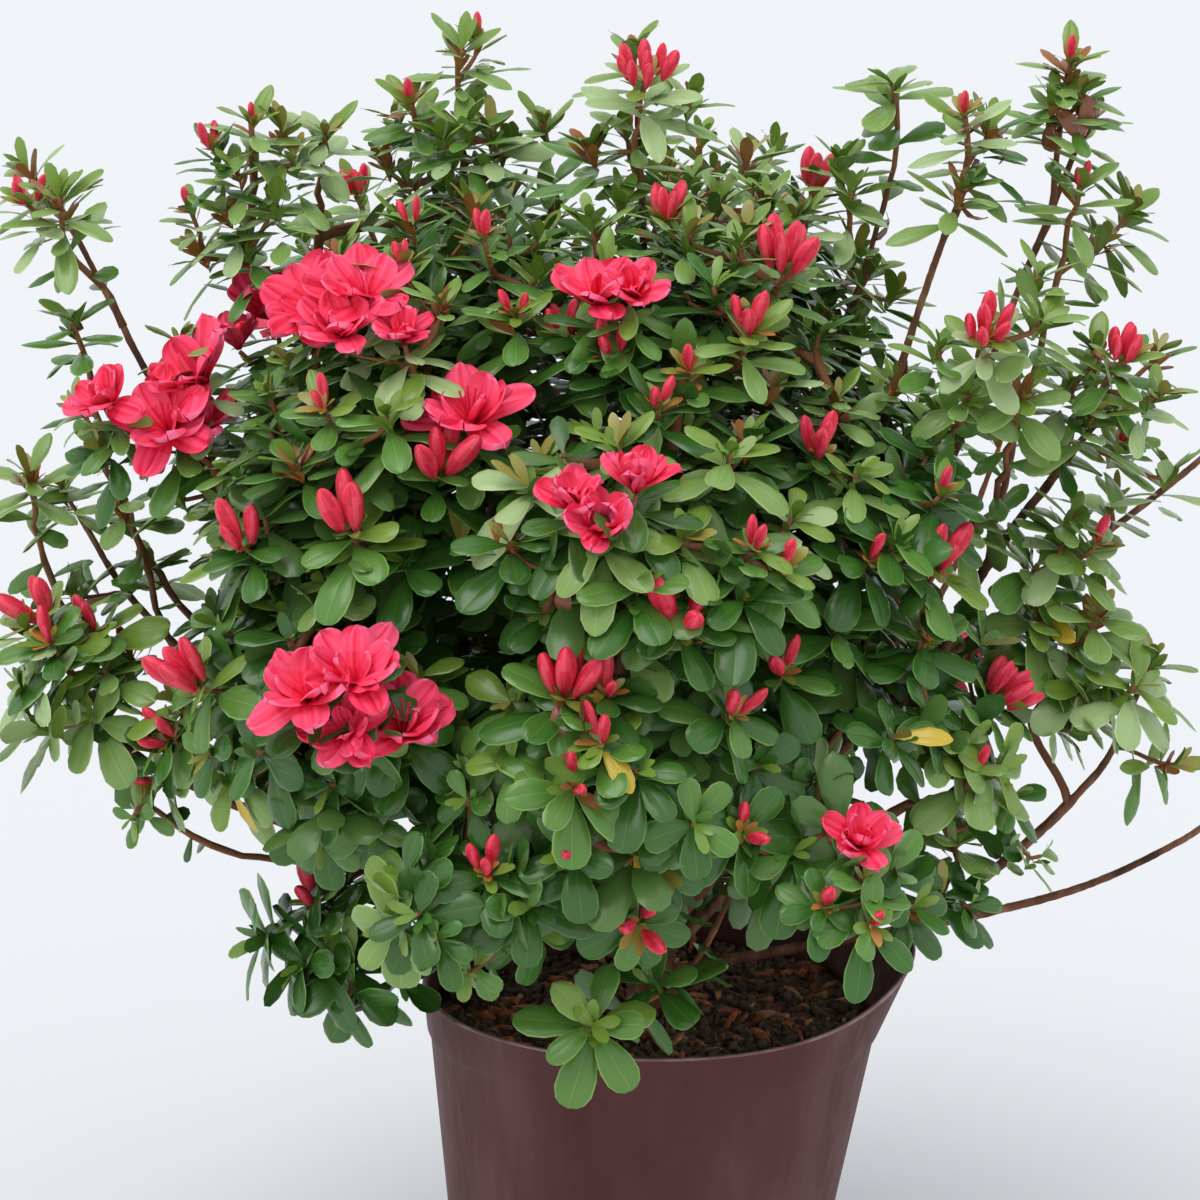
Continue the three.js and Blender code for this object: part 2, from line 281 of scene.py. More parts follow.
# How closely a twig follows the wood that it leaves, how far its bends reach, and its unevenness
LEAVE_ALONG = 0.35
BEND_REACH = 0.36
LEAVE_NOISE = 0.08

# Leaves
LEAF_LENGTH = 0.0225
LEAF_ROUGHNESS = 0.26
LEAF_GLOSS = 0.48
LEAF_SAG = 0.08
LEAF_TURN_NOISE = 0.12
# From this far down the twig leaves take a darker tone: older leaves, and painted shade between the whorls
DARKER_LEAVES_FROM = 0.014
# What changes from a slender leaf to a round one: where it is widest, how blunt its ends are, and how
# wide it stays at them
WIDEST = (0.54, 0.70)
BLUNTNESS = (0.80, 0.46)
LEAST_WIDTHS = (0.11, 0.03)
# How its edges droop and ripple
EDGE_DROOP = 0.35
RIPPLE = 0.03
RIPPLES_ALONG = 9
RIPPLES_ACROSS = 2
# Ranges for each leaf
RATIO_SPREAD = (0.9, 1.1)
BENDS = (0.25, 0.75)
FOLDS = (0.10, 0.34)
SLENDER_LOSS = 0.5
ROUNDNESS_NOISE = 0.15
# What changes from a sturdy shoot to a slender one: leaves' width by length and their length, the
# whorl's depth and how far it closes in degrees, the leaves in its middle, how far down the twig leaves
# go and from where, and the size of its buds
LEAF_RATIOS = (0.53, 0.35)
LEAF_LENGTHS = (1, 0.92)
WHORL_DEPTHS = (0.007, 0.015)
WHORL_CLOSINGS = (30, 56)
MIDDLE_LEAVES = (5, 10)
LEAFY_LENGTHS = (0.045, 0.095)
FIRST_LEAVES = (0.011, 0.018)
BUD_SIZES = (1.0, 0.82)
# A whorl's leaves: their number, their lengths from the outside in, and their scatter
WHORL_COUNTS = (6, 9)
SLENDER_MORE = 2
WHORL_LENGTHS = (1.15, 0.80)
LENGTH_SPREAD = (0.9, 1.1)
LEAN_NOISE = 7
FLOWER_CLOSING = 12
FLOWER_SINK = 0.003
# Leaves that face up may have the young colour as a painted highlight, and those in the middle of the whorl
# as young leaves
LIT_FROM = 0.25
MIDDLE_FROM = 0.75
YOUNG_AND_LIT_CHANCE = 0.6
# The middle of the whorl: its colours, the scales round buds, and the youngest leaves
GOLDEN_CHANCES = (0.2, 0.3)
BRONZE_CHANCE = 0.4
SCALE_COUNT = 6
SCALE_LENGTHS = (0.006, 0.010)
SCALE_LEANS = (15, 50)
SCALE_RATIO = 0.40
SCALE_CURVES = (0.5, 0.4, 0.3)
BRONZE_LEAVES = 12
LEAVES_BY_BUDS = 4
YOUNGEST_LENGTHS = (0.36, 0.64)
YOUNGEST_LEANS = (10, 44)
YOUNGEST_RATIO = 0.36
YOUNGEST_CURVES = ((0.2, 0.6), (0.2, 0.45), (0.3, 0.8))
YOUNGEST_STEP = 0.004
YOUNGEST_TIERS = 3
YOUNGEST_TURN = 1
BUD_LEAN = 18
# Leaves down the twig
TWIG_LEAFY_SHARE = 0.85
INNER_LEAFY_LENGTH = 0.030
TWIG_LEAF_LENGTHS = (0.75, 1.05)
TWIG_LEAF_LEANS = (52, 86)
TWIG_LEAF_STEPS = (0.005, 0.012)
TWIG_LEAF_SPREAD = 0.075
LOOK_BACK = 0.004
# Yellowed and dried leaves: length, width, bend, fold and roundness, and how they hang
SINGLE_SIZES = {"yellow": (0.021, 0.0078, 0.6, 0.35, 0.5), "dry": (0.017, 0.0066, 2.2, 0.35, 0.5)}
SINGLE_OUT = 0.3
SINGLE_DOWN = 0.6
SINGLE_NOISE = 0.2
SINGLE_FACE_UP = 0.5
# Tones of full-grown leaves, their shares low in the crown, where darker tones paint shade, and where leaves
# are painted pale as lit and sheened, and from which tone on the young leaves are fresh green
GROWN_TONES = ("shade", "deep", "green", "mid", "soft", "pale")
LOW_SHADED_SHARES = np.array((0.36, 0.41, 0.19, 0.04, 0.0))
LIT_PALE_SHARES = np.array((0.0, 0.05, 0.27, 0.46, 0.22))
FRESH_FROM = 3
# Between which heights, and how far out, shoots turn slender and their leaves are painted pale as lit
SLENDER_HEIGHTS = (0.33, 0.46)
SLENDER_REACHES = (0.185, 0.235)
LIT_PALE_REACHES = (0.105, 0.175)
LIT_PALE_HEIGHTS = (0.21, 0.27)
# The rim strip round each leaf carries a painted highlight along its edge
BLADE, RIM_HIGHLIGHT, RIB = 0, 1, 2
LEAVES_PER_PIECE = 1900
# Inner leaves nearer to the front than this are a little finer
INNER_PLAIN_FROM = -0.035
LEAF_SHAPES = {
    "fine": (
        (0.0, 0.12, 0.34, 0.58, 0.79, 0.92, 0.98, 1.0),
        (-1.0, -0.92, -0.48, -0.03, 0.03, 0.48, 0.92, 1.0),
        (RIM_HIGHLIGHT, BLADE, BLADE, RIB, BLADE, BLADE, RIM_HIGHLIGHT),
    ),
    "plain": (
        (0.0, 0.17, 0.44, 0.74, 0.93, 1.0),
        (-1.0, -0.5, 0.0, 0.5, 1.0),
        (BLADE, BLADE, BLADE, BLADE),
    ),
    "coarse": (
        (0.0, 0.20, 0.50, 0.80, 0.95, 1.0),
        (-1.0, 0.0, 1.0),
        (BLADE, BLADE),
    ),
}
# Each leaf colour's tones for the blade, the pale rim, a painted highlight along the edge, and the rib
LEAF_COLOURS = {
    # The inner leaves' tone is lighter than the deep one, painted fill light in the crown's shaded core
    "shade": ("#557838", "#618342", "#5b7d3d"),
    "deep": ("#386124", "#537b35", "#47722e"),
    "green": ("#3e6c26", "#668f3c", "#527f33"),
    "mid": ("#5a8537", "#82a44f", "#6d9647"),
    "soft": ("#7f9f53", "#9fb969", "#8eae60"),
    "pale": ("#a1ba7e", "#b4c88d", "#abc186"),
    "fresh": ("#75943a", "#90a94d", "#84a045"),
    "young": ("#979044", "#a8a156", "#9f9a4d"),
    "bronze": ("#a06636", "#b08044", "#a8743e"),
    "yellow": ("#c9ad35", "#d4bd58", "#d0b64b"),
    "dry": ("#8b5138", "#9a6246", "#935a3f"),
    "scale": ("#b88040", "#c68f50", "#bf8345"),
}

# Buds: rows of points with their widths, the twist and depth of their folds, and their sway
BUD_ROWS = np.array((0.0, 0.10, 0.26, 0.45, 0.64, 0.80, 0.90, 0.96, 1.0))
BUD_WIDTHS = np.array((0.30, 0.52, 0.80, 0.97, 1.0, 0.84, 0.62, 0.38, 0.03))
BUD_SIDES = 12
BUD_FOLDS = 3
BUD_FOLD_DEPTH = 0.07
BUD_TWIST = 1.1
BUD_STARTS = (0, 6)
BUD_SWAYS = (0, 0.08)
# Bud faces on the folds' ridges take a painted highlight, and those in their grooves painted shade
BUD_GROOVE_SHADE, BUD_RED, BUD_RIDGE_HIGHLIGHT = 0, 1, 2
BUD_HIGHLIGHT_FROM = 0.5
BUD_SHADE_TO = -0.6
BUD_COLOURS = {"groove_shade": "#d1213e", "red": "#e62f4b", "light": "#f14a61"}
# How buds stand together, and their sizes
BUD_OPENINGS = (0.18, 0.54)
BUD_SPREAD = (0.80, 1.06)
OPENING_SIZE = 1.28
BUD_RISE = 0.35
UPRIGHT_LEAN = 0.06
BUD_LEAN_NOISE = (-0.08, 0.12)
# From this many on, buds are longer, and with more than that one of them stands upright
MANY_BUDS = 3
BUD_LENGTHS = (0.0130, 0.0180)
FEW_BUD_LENGTHS = (0.0100, 0.0145)
BUD_RATIOS = (0.32, 0.41)
BUD_STALK = 0.002
BUD_RING = 0.0007
# Petals: rows and columns of points, outline, lean, and ruffles as height and waves across and along
PETAL_ROWS = np.array((0.0, 0.13, 0.27, 0.41, 0.54, 0.66, 0.77, 0.86, 0.93, 0.975, 1.0))
PETAL_COLUMNS = np.linspace(-1, 1, 11)
PETAL_PEAK = 0.64
PETAL_RISE = 0.8
PETAL_BLUNT = 0.44
PETAL_LEAST_WIDTHS = (0.22, 0.06)
PETAL_LEAN = math.radians(18)
PETAL_TURNED_AT = 0.75
PETAL_RUFFLES = ((0.10, 3.4, 0), (0.07, 7.0, 4))
RUFFLE_GROWTH = 1.3
PETAL_CUP = 0.07
# A petal's tones go from the throat to its pale edge, and darker streaks run along it. Some petals
# are a tone darker all over.
PETAL_ROW_TONES = np.array((-3, -2, -1, -1, 0, 0, 0, 0, 1, 1))
PETAL_STREAKS = np.array((3, 3, 2, 3, 2, 1, 3, 2, 3, 3))
PETAL_TONE_SHIFTS = (-1, 1)
PETAL_COLOURS = {
    "throat": "#dd1f49", "red": "#f6355c", "rose": "#ff4a70", "bright": "#ff587e", "pink": "#ff7098",
}
# Flowers: rings of petals as size, share of the flare and number, and the petals by the flower's width
PETAL_RINGS = ((1.0, 1.0, 5), (0.88, 0.60, 5), (0.66, 0.25, 2))
RING_SHIFT = 0.63
PETAL_LENGTHS = (0.52, 0.64)
PETAL_WIDTHS = (0.31, 0.39)
PETAL_TURN_NOISE = 0.16
FLARE_NOISE = 0.22
STAMEN_COUNT = 5
STAMENS_SHOW_FROM = 1
STAMEN_SHIFT = 1.3
STAMEN_SPREAD = 0.2
STAMEN_LENGTH = 0.36
STAMEN_KNOTS = (0.4, 0.75)
STAMEN_RISE = 0.0015
STAMEN_RADII = np.array((0.0003, 0.0003, 0.0003, 0.0003, 0.0005))
STAMEN_SIDES = 4
# Which way flowers face, and how those of one shoot lie beside each other
FACE_UP = 0.70
FACE_OUT = 0.4
FACE_CAMERA = 0.4
FACE_NOISE = 0.2
FLOWER_SHIFT = 0.016
FLOWER_RISE = 0.001
FLOWER_SPREAD = 30

# Open flowers in the photo: place in pixels, width, and how far the petals turn out
OPEN_FLOWERS = (
    (276, 322, 0.038, 0.7), (318, 318, 0.042, 1.0), (366, 306, 0.042, 0.95), (345, 342, 0.034, 0.9),
    (240, 352, 0.026, 0.5), (113, 410, 0.033, 0.8), (208, 388, 0.044, 0.95), (170, 434, 0.040, 1.05),
    (205, 440, 0.034, 1.0), (472, 430, 0.043, 1.05), (520, 432, 0.043, 1.05), (598, 310, 0.037, 0.85),
    (632, 300, 0.028, 0.6), (310, 704, 0.042, 1.0), (356, 684, 0.040, 0.9), (352, 735, 0.034, 0.9),
    (402, 738, 0.042, 1.1), (856, 848, 0.030, 0.65), (636, 496, 0.030, 0.55), (600, 534, 0.030, 0.5),
    (572, 512, 0.029, 0.45), (405, 345, 0.027, 0.6),
)
# Groups of buds in the photo: place in pixels and how many buds
BUD_CLUSTERS = (
    (648, 75, 8), (22, 205, 3), (205, 147, 2), (357, 188, 4), (182, 217, 1), (485, 232, 2), (410, 217, 2),
    (665, 213, 4), (820, 185, 3), (625, 150, 1), (792, 268, 6), (757, 335, 4), (982, 320, 6),
    (1120, 350, 5), (447, 477, 4), (607, 365, 3), (350, 535, 3), (240, 555, 3), (45, 612, 3), (100, 622, 2),
    (42, 665, 2), (190, 685, 4), (175, 740, 3), (142, 655, 1), (560, 695, 4), (605, 690, 2), (600, 740, 2),
    (685, 633, 3), (757, 550, 2), (790, 572, 1), (815, 455, 4), (870, 568, 1), (945, 575, 3), (932, 635, 1),
    (1005, 700, 6), (975, 778, 1), (780, 668, 2), (740, 712, 2), (750, 840, 2), (640, 935, 3),
    (490, 868, 3), (570, 788, 2), (566, 862, 2), (315, 897, 2), (660, 400, 2), (690, 378, 1), (555, 345, 3),
    (520, 318, 2), (966, 115, 1), (1047, 68, 1), (412, 92, 1), (480, 35, 1), (825, 900, 1), (948, 495, 1),
    (1092, 548, 1), (148, 790, 1), (1075, 190, 2), (235, 118, 1), (400, 262, 2), (880, 925, 1),
    (320, 405, 2), (1115, 460, 1), (1035, 625, 1),
)
# Those whose buds are larger and about to open
OPENING_BUDS = (
    (560, 695), (190, 685), (45, 612), (100, 622), (42, 665), (350, 535), (945, 575), (982, 320), (1120, 350),
    (792, 268), (600, 740), (240, 555), (447, 477), (315, 897), (685, 633), (570, 788),
)
# Leafy tips in the photo: place in pixels
LEAFY_TIPS = (
    (735, 448), (562, 815), (490, 862), (590, 1025), (300, 965), (520, 480), (500, 545), (860, 470),
    (940, 895), (750, 600), (640, 770), (520, 150), (590, 158), (700, 135), (690, 170), (745, 150),
    (780, 145), (862, 250), (440, 140), (498, 135), (385, 120), (285, 125), (218, 212), (275, 205),
    (290, 462), (440, 300), (385, 410), (640, 590), (660, 500), (845, 620), (900, 540), (1060, 385),
    (1045, 320), (930, 350), (1085, 420), (65, 405), (182, 330), (97, 455), (165, 500), (160, 565),
    (110, 668), (410, 760), (330, 795), (250, 760), (210, 620), (420, 840), (345, 865), (385, 930),
    (355, 960), (700, 830), (820, 790), (900, 740), (880, 830), (820, 905), (415, 985), (540, 905),
    (1020, 720), (1060, 735), (1075, 690), (1010, 770), (960, 835), (1137, 685), (1070, 510), (1030, 565),
    (1115, 490), (1135, 500), (1060, 545), (1000, 620), (1080, 640), (330, 925), (400, 870), (660, 975),
    (1040, 265), (1105, 255), (1140, 215), (960, 195), (340, 160), (515, 195), (560, 195), (620, 195),
    (655, 172), (720, 195), (765, 190), (800, 215), (832, 165), (848, 195), (880, 268), (905, 295),
    (240, 250), (190, 258), (300, 215), (330, 232), (400, 190), (375, 165), (230, 172), (265, 112),
    (298, 150), (445, 185), (488, 180), (425, 135), (470, 125), (590, 215), (690, 225), (740, 235),
    (1165, 400), (1150, 370), (1090, 350), (1175, 775), (1100, 715), (745, 858), (255, 935), (820, 885),
    (945, 872), (925, 908), (972, 905), (900, 865), (868, 878), (1050, 850), (20, 625), (25, 690),
    (75, 600), (1100, 570), (470, 548), (462, 642), (460, 728), (30, 735), (95, 725), (990, 640),
    (985, 700), (975, 745), (1020, 790), (1040, 660), (470, 985), (455, 800), (455, 770), (435, 942),
    (410, 915), (350, 1008), (20, 165), (90, 195), (1085, 90), (1050, 105), (700, 105), (170, 700),
    (150, 740), (200, 760), (225, 790), (1170, 480), (1130, 450), (370, 835), (395, 815), (320, 850),
)
BRONZE_TIPS = (
    (118, 505), (290, 462), (1098, 615), (440, 300), (1070, 65), (265, 112), (590, 158), (30, 478),
    (820, 185),
)
LARGE_TIPS = (
    (735, 448), (562, 815), (490, 862), (520, 480), (590, 1025), (300, 965), (1005, 700), (982, 320),
    (1120, 350), (1137, 685), (945, 872), (745, 858), (893, 85), (255, 935), (350, 1008), (355, 960),
    (560, 695), (570, 788), (490, 868),
)
SMALL_TIPS = ((470, 985), (132, 818), (455, 800), (455, 770), (1050, 850), (825, 900), (435, 942))
# Long shoots in the photo, from the tip down to where they go in among the leaves, in pixels
LONG_SHOOTS = (
    ((60, 200), (68, 250), (90, 290), (112, 330), (150, 388), (205, 455)),
    ((74, 322), (88, 362), (95, 410), (108, 470), (125, 512), (142, 545), (170, 588), (205, 630), (240, 668)),
    ((118, 505), (136, 530), (150, 580), (172, 632)),
    ((30, 478), (35, 515), (42, 550), (58, 600)),
    ((50, 645), (75, 680), (102, 705), (140, 728), (185, 745)),
    ((132, 818), (150, 803), (175, 826), (210, 845), (260, 858), (310, 862), (360, 872)),
    ((252, 125), (253, 170), (250, 230), (243, 290)),
    ((325, 135), (320, 180), (318, 250)),
    ((358, 195), (375, 240), (390, 275)),
    ((410, 105), (425, 150), (438, 200)),
    ((462, 50), (458, 100), (462, 160), (468, 230), (478, 330)),
    ((645, 85), (637, 150), (636, 220), (636, 290)),
    ((545, 125), (550, 180), (554, 250)),
    ((893, 85), (898, 128), (893, 168), (882, 208), (868, 262), (850, 310), (830, 375)),
    ((965, 118), (968, 155), (962, 200), (956, 245), (946, 292), (936, 340), (922, 395)),
    ((1070, 65), (1062, 110), (1056, 160), (1054, 215), (1048, 270)),
    ((1080, 188), (1070, 222), (1058, 275), (1046, 330), (1030, 390), (1010, 455), (994, 530)),
    ((985, 340), (975, 385), (955, 425), (925, 465), (895, 520)),
    ((1120, 362), (1090, 400), (1068, 438), (1043, 478), (1025, 515), (1010, 560), (1000, 600)),
    ((1022, 395), (1010, 440), (997, 495), (986, 560)),
    ((968, 395), (950, 440), (935, 500), (915, 560)),
    ((1098, 615), (1080, 645), (1058, 682), (1035, 715)),
    ((975, 778), (945, 798), (905, 808), (880, 822)),
)
YELLOW_LEAVES = ((245, 800), (910, 720), (650, 878), (1055, 608), (582, 645), (615, 742))
DRY_LEAVES = (
    (1036, 122), (1048, 140), (1066, 98), (1096, 108), (1116, 98), (1110, 130), (957, 252), (943, 232),
    (555, 590), (560, 700), (75, 325), (100, 488),
)

rng = np.random.default_rng(SEED)


def unit(vector):
    return vector / max(np.linalg.norm(vector), TINY)


def mix(low, high, share):
    return low + (high - low) * share


def sideways(axis):
    """Two directions square to the axis and to each other."""
    start = (1.0, 0.0, 0.0) if abs(axis[0]) < ALONG_X else (0.0, 1.0, 0.0)
    first = unit(np.cross(axis, start))
    return first, np.cross(axis, first)


def around(axis, angle):
    first, second = sideways(axis)
    return first * math.cos(angle) + second * math.sin(angle)


def linear(hexadecimal):
    """The linear colour of a #rrggbb value."""
    values = (int(hexadecimal[i:i + 2], 16) / 255 for i in (1, 3, 5))
    return tuple(v / 12.92 if v <= 0.04045 else ((v + 0.055) / 1.055) ** 2.4 for v in values) + (1.0,)


# Materials


def set_inputs(node, values):
    for name, value in values.items():
        node.inputs[name].default_value = value


def add_node(tree, kind, values):
    """A new shader node of a kind, with these values at its inputs."""
    node = tree.nodes.new("ShaderNode" + kind)
    set_inputs(node, values)
    return node


def plain(name, colour, roughness, specular):
    """A material of one plain colour."""
    material = bpy.data.materials.new(name)
    material.use_nodes = True
    shader = material.node_tree.nodes["Principled BSDF"]
    set_inputs(shader, {"Base Color": linear(colour), "Roughness": roughness, "Specular IOR Level": specular})
    return material


def palette(prefix, colours, roughness, specular):
    """A plain material for each named colour."""
    return [plain(f"{prefix}_{name}", colour, roughness, specular) for name, colour in colours.items()]


def add_noise(tree, scale, stretch):
    """Noise in the object's own space, drawn out along the axes whose stretch is small."""
    place = add_node(tree, "TexCoord", {})
    mapping = add_node(tree, "Mapping", {"Scale": stretch})
    noise = add_node(tree, "TexNoise", {"Scale": scale, "Detail": NOISE_DETAIL})
    tree.links.new(place.outputs["Object"], mapping.inputs["Vector"])
    tree.links.new(mapping.outputs["Vector"], noise.inputs["Vector"])
    return noise.outputs["Fac"]


def ramp_of(tree, factor, tones):
    """Colours dealt out evenly over the middle range of the factor."""
    ramp = add_node(tree, "ValToRGB", {})
    elements = ramp.color_ramp.elements
    places = np.linspace(*TONE_RANGE, len(tones))
    for element, place, tone in zip(elements, (places[0], places[-1]), (tones[0], tones[-1])):
        element.position = place
        element.color = linear(tone)
    for place, tone in zip(places[1:-1], tones[1:-1]):
        elements.new(place).color = linear(tone)
    tree.links.new(factor, ramp.inputs["Fac"])
    return ramp.outputs["Color"]


def grained(name, tones, roughness, specular, grain, relief):
    """A material whose colour, roughness and fine relief follow noise.

    tones go from dark to light, roughness from least to most, grain is the scale and stretch of the
    colour's noise, and relief is the scale, stretch and depth of the surface's.
    """
    material = plain(name, tones[0], roughness[0], specular)
    tree = material.node_tree
    shader = tree.nodes["Principled BSDF"]
    blotches = add_noise(tree, *grain)
    tree.links.new(ramp_of(tree, blotches, tones), shader.inputs["Base Color"])
    scale, stretch, depth = relief
    fine = add_noise(tree, scale, stretch)
    ends = zip(("From Min", "From Max", "To Min", "To Max"), (*ROUGHNESS_RANGE, *roughness))
    spread = add_node(tree, "MapRange", dict(ends))
    tree.links.new(fine, spread.inputs["Value"])
    tree.links.new(spread.outputs["Result"], shader.inputs["Roughness"])
    bump = add_node(tree, "Bump", {"Distance": depth})
    tree.links.new(fine, bump.inputs["Height"])
    tree.links.new(bump.outputs["Normal"], shader.inputs["Normal"])
    return material


# Meshes from arrays


class Pile:
    """Points and four-cornered faces gathered into one mesh."""

    def __init__(self):
        self.points = []
        self.quads = []
        self.kinds = []
        self.count = 0

    def add(self, points, quads, kinds):
        self.points.append(points)
        self.quads.append(quads + self.count)
        self.kinds.append(np.broadcast_to(kinds, len(quads)))
        self.count += len(points)

    def build(self, name, materials, slot):
        points = np.concatenate(self.points)
        quads = np.concatenate(self.quads)
        mesh = bpy.data.meshes.new(name)
        mesh.vertices.add(len(points))
        mesh.vertices.foreach_set("co", points.astype(np.float32).ravel())
        mesh.loops.add(quads.size)
        mesh.loops.foreach_set("vertex_index", quads.astype(np.int32).ravel())
        mesh.polygons.add(len(quads))
        mesh.polygons.foreach_set("loop_start", np.arange(0, quads.size, 4, dtype=np.int32))
        mesh.polygons.foreach_set("material_index", np.concatenate(self.kinds).astype(np.int32))
        mesh.polygons.foreach_set("use_smooth", np.ones(len(quads), bool))
        mesh.update(calc_edges=True)
        for material in materials:
            mesh.materials.append(material)
        made = bpy.data.objects.new(name, mesh)
        bpy.context.scene.collection.objects.link(made)
        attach(made, "root")
        return made


def grid_quads(rows, columns, closed):
    """The faces of a grid of points, row by row, closed round each row if asked."""
    across = columns if closed else columns - 1
    row, column = np.meshgrid(np.arange(rows - 1), np.arange(across), indexing="ij")
    after = (column + 1) % columns
    low, high = row * columns, (row + 1) * columns
    return np.stack((low + column, low + after, high + after, high + column), -1).reshape(-1, 4)


def turned(profile, segments):
    """Points of a (radius, height) profile turned round +Z."""
    angles = np.linspace(0, FULL_TURN, segments, endpoint=False)
    radius, height = np.asarray(profile, float).T
    ring = np.stack((np.cos(angles), np.sin(angles)), -1)
    flat = radius[:, None, None] * ring[None]
    tall = np.broadcast_to(height[:, None, None], (len(radius), segments, 1))
    return np.concatenate((flat, tall), -1).reshape(-1, 3)


def node_arrays(frame, name):
    """The points and triangles of a CAD node."""
    mesh = frame["nodes"][name].data
    points = np.empty(len(mesh.vertices) * 3)
    mesh.vertices.foreach_get("co", points)
    mesh.calc_loop_triangles()
    corners = np.empty(len(mesh.loop_triangles) * 3, np.int32)
    mesh.loop_triangles.foreach_get("vertices", corners)
    return points.reshape(-1, 3), corners.reshape(-1, 3)


class Surface:
    """All the masses as one set of triangles, with a tree for finding places on them."""

    def __init__(self, frame, names):
        points, corners, outlying, start = [], [], [], 0
        for name in names:
            part_points, part_corners = node_arrays(frame, name)
            points.append(part_points)
            corners.append(part_corners + start)
            outlying.append(np.full(len(part_corners), name.startswith("tip")))
            start += len(part_points)
        self.points = np.concatenate(points)
        self.corners = np.concatenate(corners)
        self.outlying = np.concatenate(outlying)
        self.tree = BVHTree.FromPolygons(self.points.tolist(), self.corners.tolist())

    def behind(self, x, y):
        """The place and normal behind a point of the photo, or the nearest to that line of sight."""
        start = Vector(CAMERA_PLACE)
        ray = photo_ray(x, y)
        hit, normal, _, _ = self.tree.ray_cast(start, ray)
        if hit is not None:
            return np.array(hit), np.array(normal)
        best = (math.inf, None, None)
        for distance in SIGHT_DISTANCES:
            along = start + ray * distance
            _, normal, _, gap = self.tree.find_nearest(along)
            if gap < best[0]:
                best = (gap, np.array(along), np.array(normal))
        return best[1:]

    def covered(self, spot, normal):
        """Whether another mass lies just outside this place."""
        start = Vector(spot + normal * COVER_START)
        return self.tree.ray_cast(start, Vector(normal), COVER_REACH)[0] is not None


def photo_ray(x, y):
    """The way from the camera through a point of the photo."""
    pitch = math.radians(CAMERA_PITCH)
    across = (x - PHOTO_SIDE / 2) / FOCAL_PIXELS
    up = (PHOTO_SIDE / 2 - y) / FOCAL_PIXELS
    forward = math.cos(pitch) + up * math.sin(pitch)
    return Vector((across, forward, -math.sin(pitch) + up * math.cos(pitch))).normalized()


def photo_point(place):
    """Where a place is seen in the photo, in pixels."""
    pitch = math.radians(CAMERA_PITCH)
    x, y, z = place - CAMERA_PLACE
    forward = y * math.cos(pitch) - z * math.sin(pitch)
    up = y * math.sin(pitch) + z * math.cos(pitch)
    return PHOTO_SIDE / 2 + FOCAL_PIXELS * x / forward, PHOTO_SIDE / 2 - FOCAL_PIXELS * up / forward


def within(point, ellipses):
    """Whether a point of the photo lies in one of the ellipses, each a middle and half lengths."""
    return any(sum(((p - m) / h) ** 2 for p, m, h in zip(point, *ellipse)) < 1 for ellipse in ellipses)


def at_depth(x, y, depth):
    """The point seen at a place of the photo that lies in the plane y = depth."""
    ray = np.array(photo_ray(x, y))
    return CAMERA_PLACE + ray * (depth - CAMERA_PLACE[1]) / ray[1]


# Where the shoots end


class Shoot:
    """One leafy tip: its place, the way that it points, and what it carries."""

    def __init__(self, place, axis, buds=0, flowers=(), inner=False, spot=None, line=None):
        self.place = np.asarray(place, float)
        self.axis = unit(np.asarray(axis, float))
        self.buds = buds
        self.flowers = flowers
        self.inner = inner
        self.bronze = spot in BRONZE_TIPS
        self.opening = spot in OPENING_BUDS
        self.line = line
        self.size = rng.uniform(*SIZE_SPREAD)
        height = np.interp(self.place[2], SLENDER_HEIGHTS, (0, 1))
        reach = np.linalg.norm(self.place - CROWN_MIDDLE)
        self.slender = max(height, np.interp(reach, SLENDER_REACHES, (0, 1)))
        if spot in LARGE_TIPS:
            self.size *= LARGE_SIZE
            self.slender = LARGE_SLENDER
        elif spot in SMALL_TIPS:
            self.size *= SMALL_SIZE
        # Leaves high up and far out to the sides are painted pale, as lit and sheened
        across = np.linalg.norm((self.place - CROWN_MIDDLE)[[0, 2]])
        away = np.interp(across, LIT_PALE_REACHES, (0, 1)) * np.interp(self.place[2], LIT_PALE_HEIGHTS, (0, 1))
        self.pale = max(height, away)
        self.path = None


def growth_axis(place, normal):
    """Shoots point out of the crown and turn up towards the light, most of all at the top."""
    outward = unit(place - CROWN_MIDDLE)
    lift = mix(*LIFTS, np.clip((outward[2] - LIFT_FROM) / LIFT_RANGE, 0, 1))
    way = OUTWARD_SHARE * outward + NORMAL_SHARE * np.asarray(normal) + lift * UP
    return unit(way + rng.normal(0, AXIS_NOISE, 3))


def long_line(surface, limbs, spots):
    """A long shoot's line in space, from its tip to the first bough that it meets in the photo."""
    tip, _ = surface.behind(*spots[0])
    seen = np.array([photo_point(point) for point in limbs])
    for number, spot in enumerate(spots[2:], 2):
        gaps = np.abs(seen - spot).sum(1)
        if gaps.min() < BOUGH_REACH:
            foot = limbs[gaps.argmin()]
            depths = np.linspace(tip[1], foot[1], number + 1)
            line = [at_depth(*spot, depth) for spot, depth in zip(spots[:number], depths)]
            return np.array([*line, foot])
    depths = np.linspace(tip[1], tip[1] + STEM_SINK, len(spots))
    return np.array([at_depth(*spot, depth) for spot, depth in zip(spots, depths)])


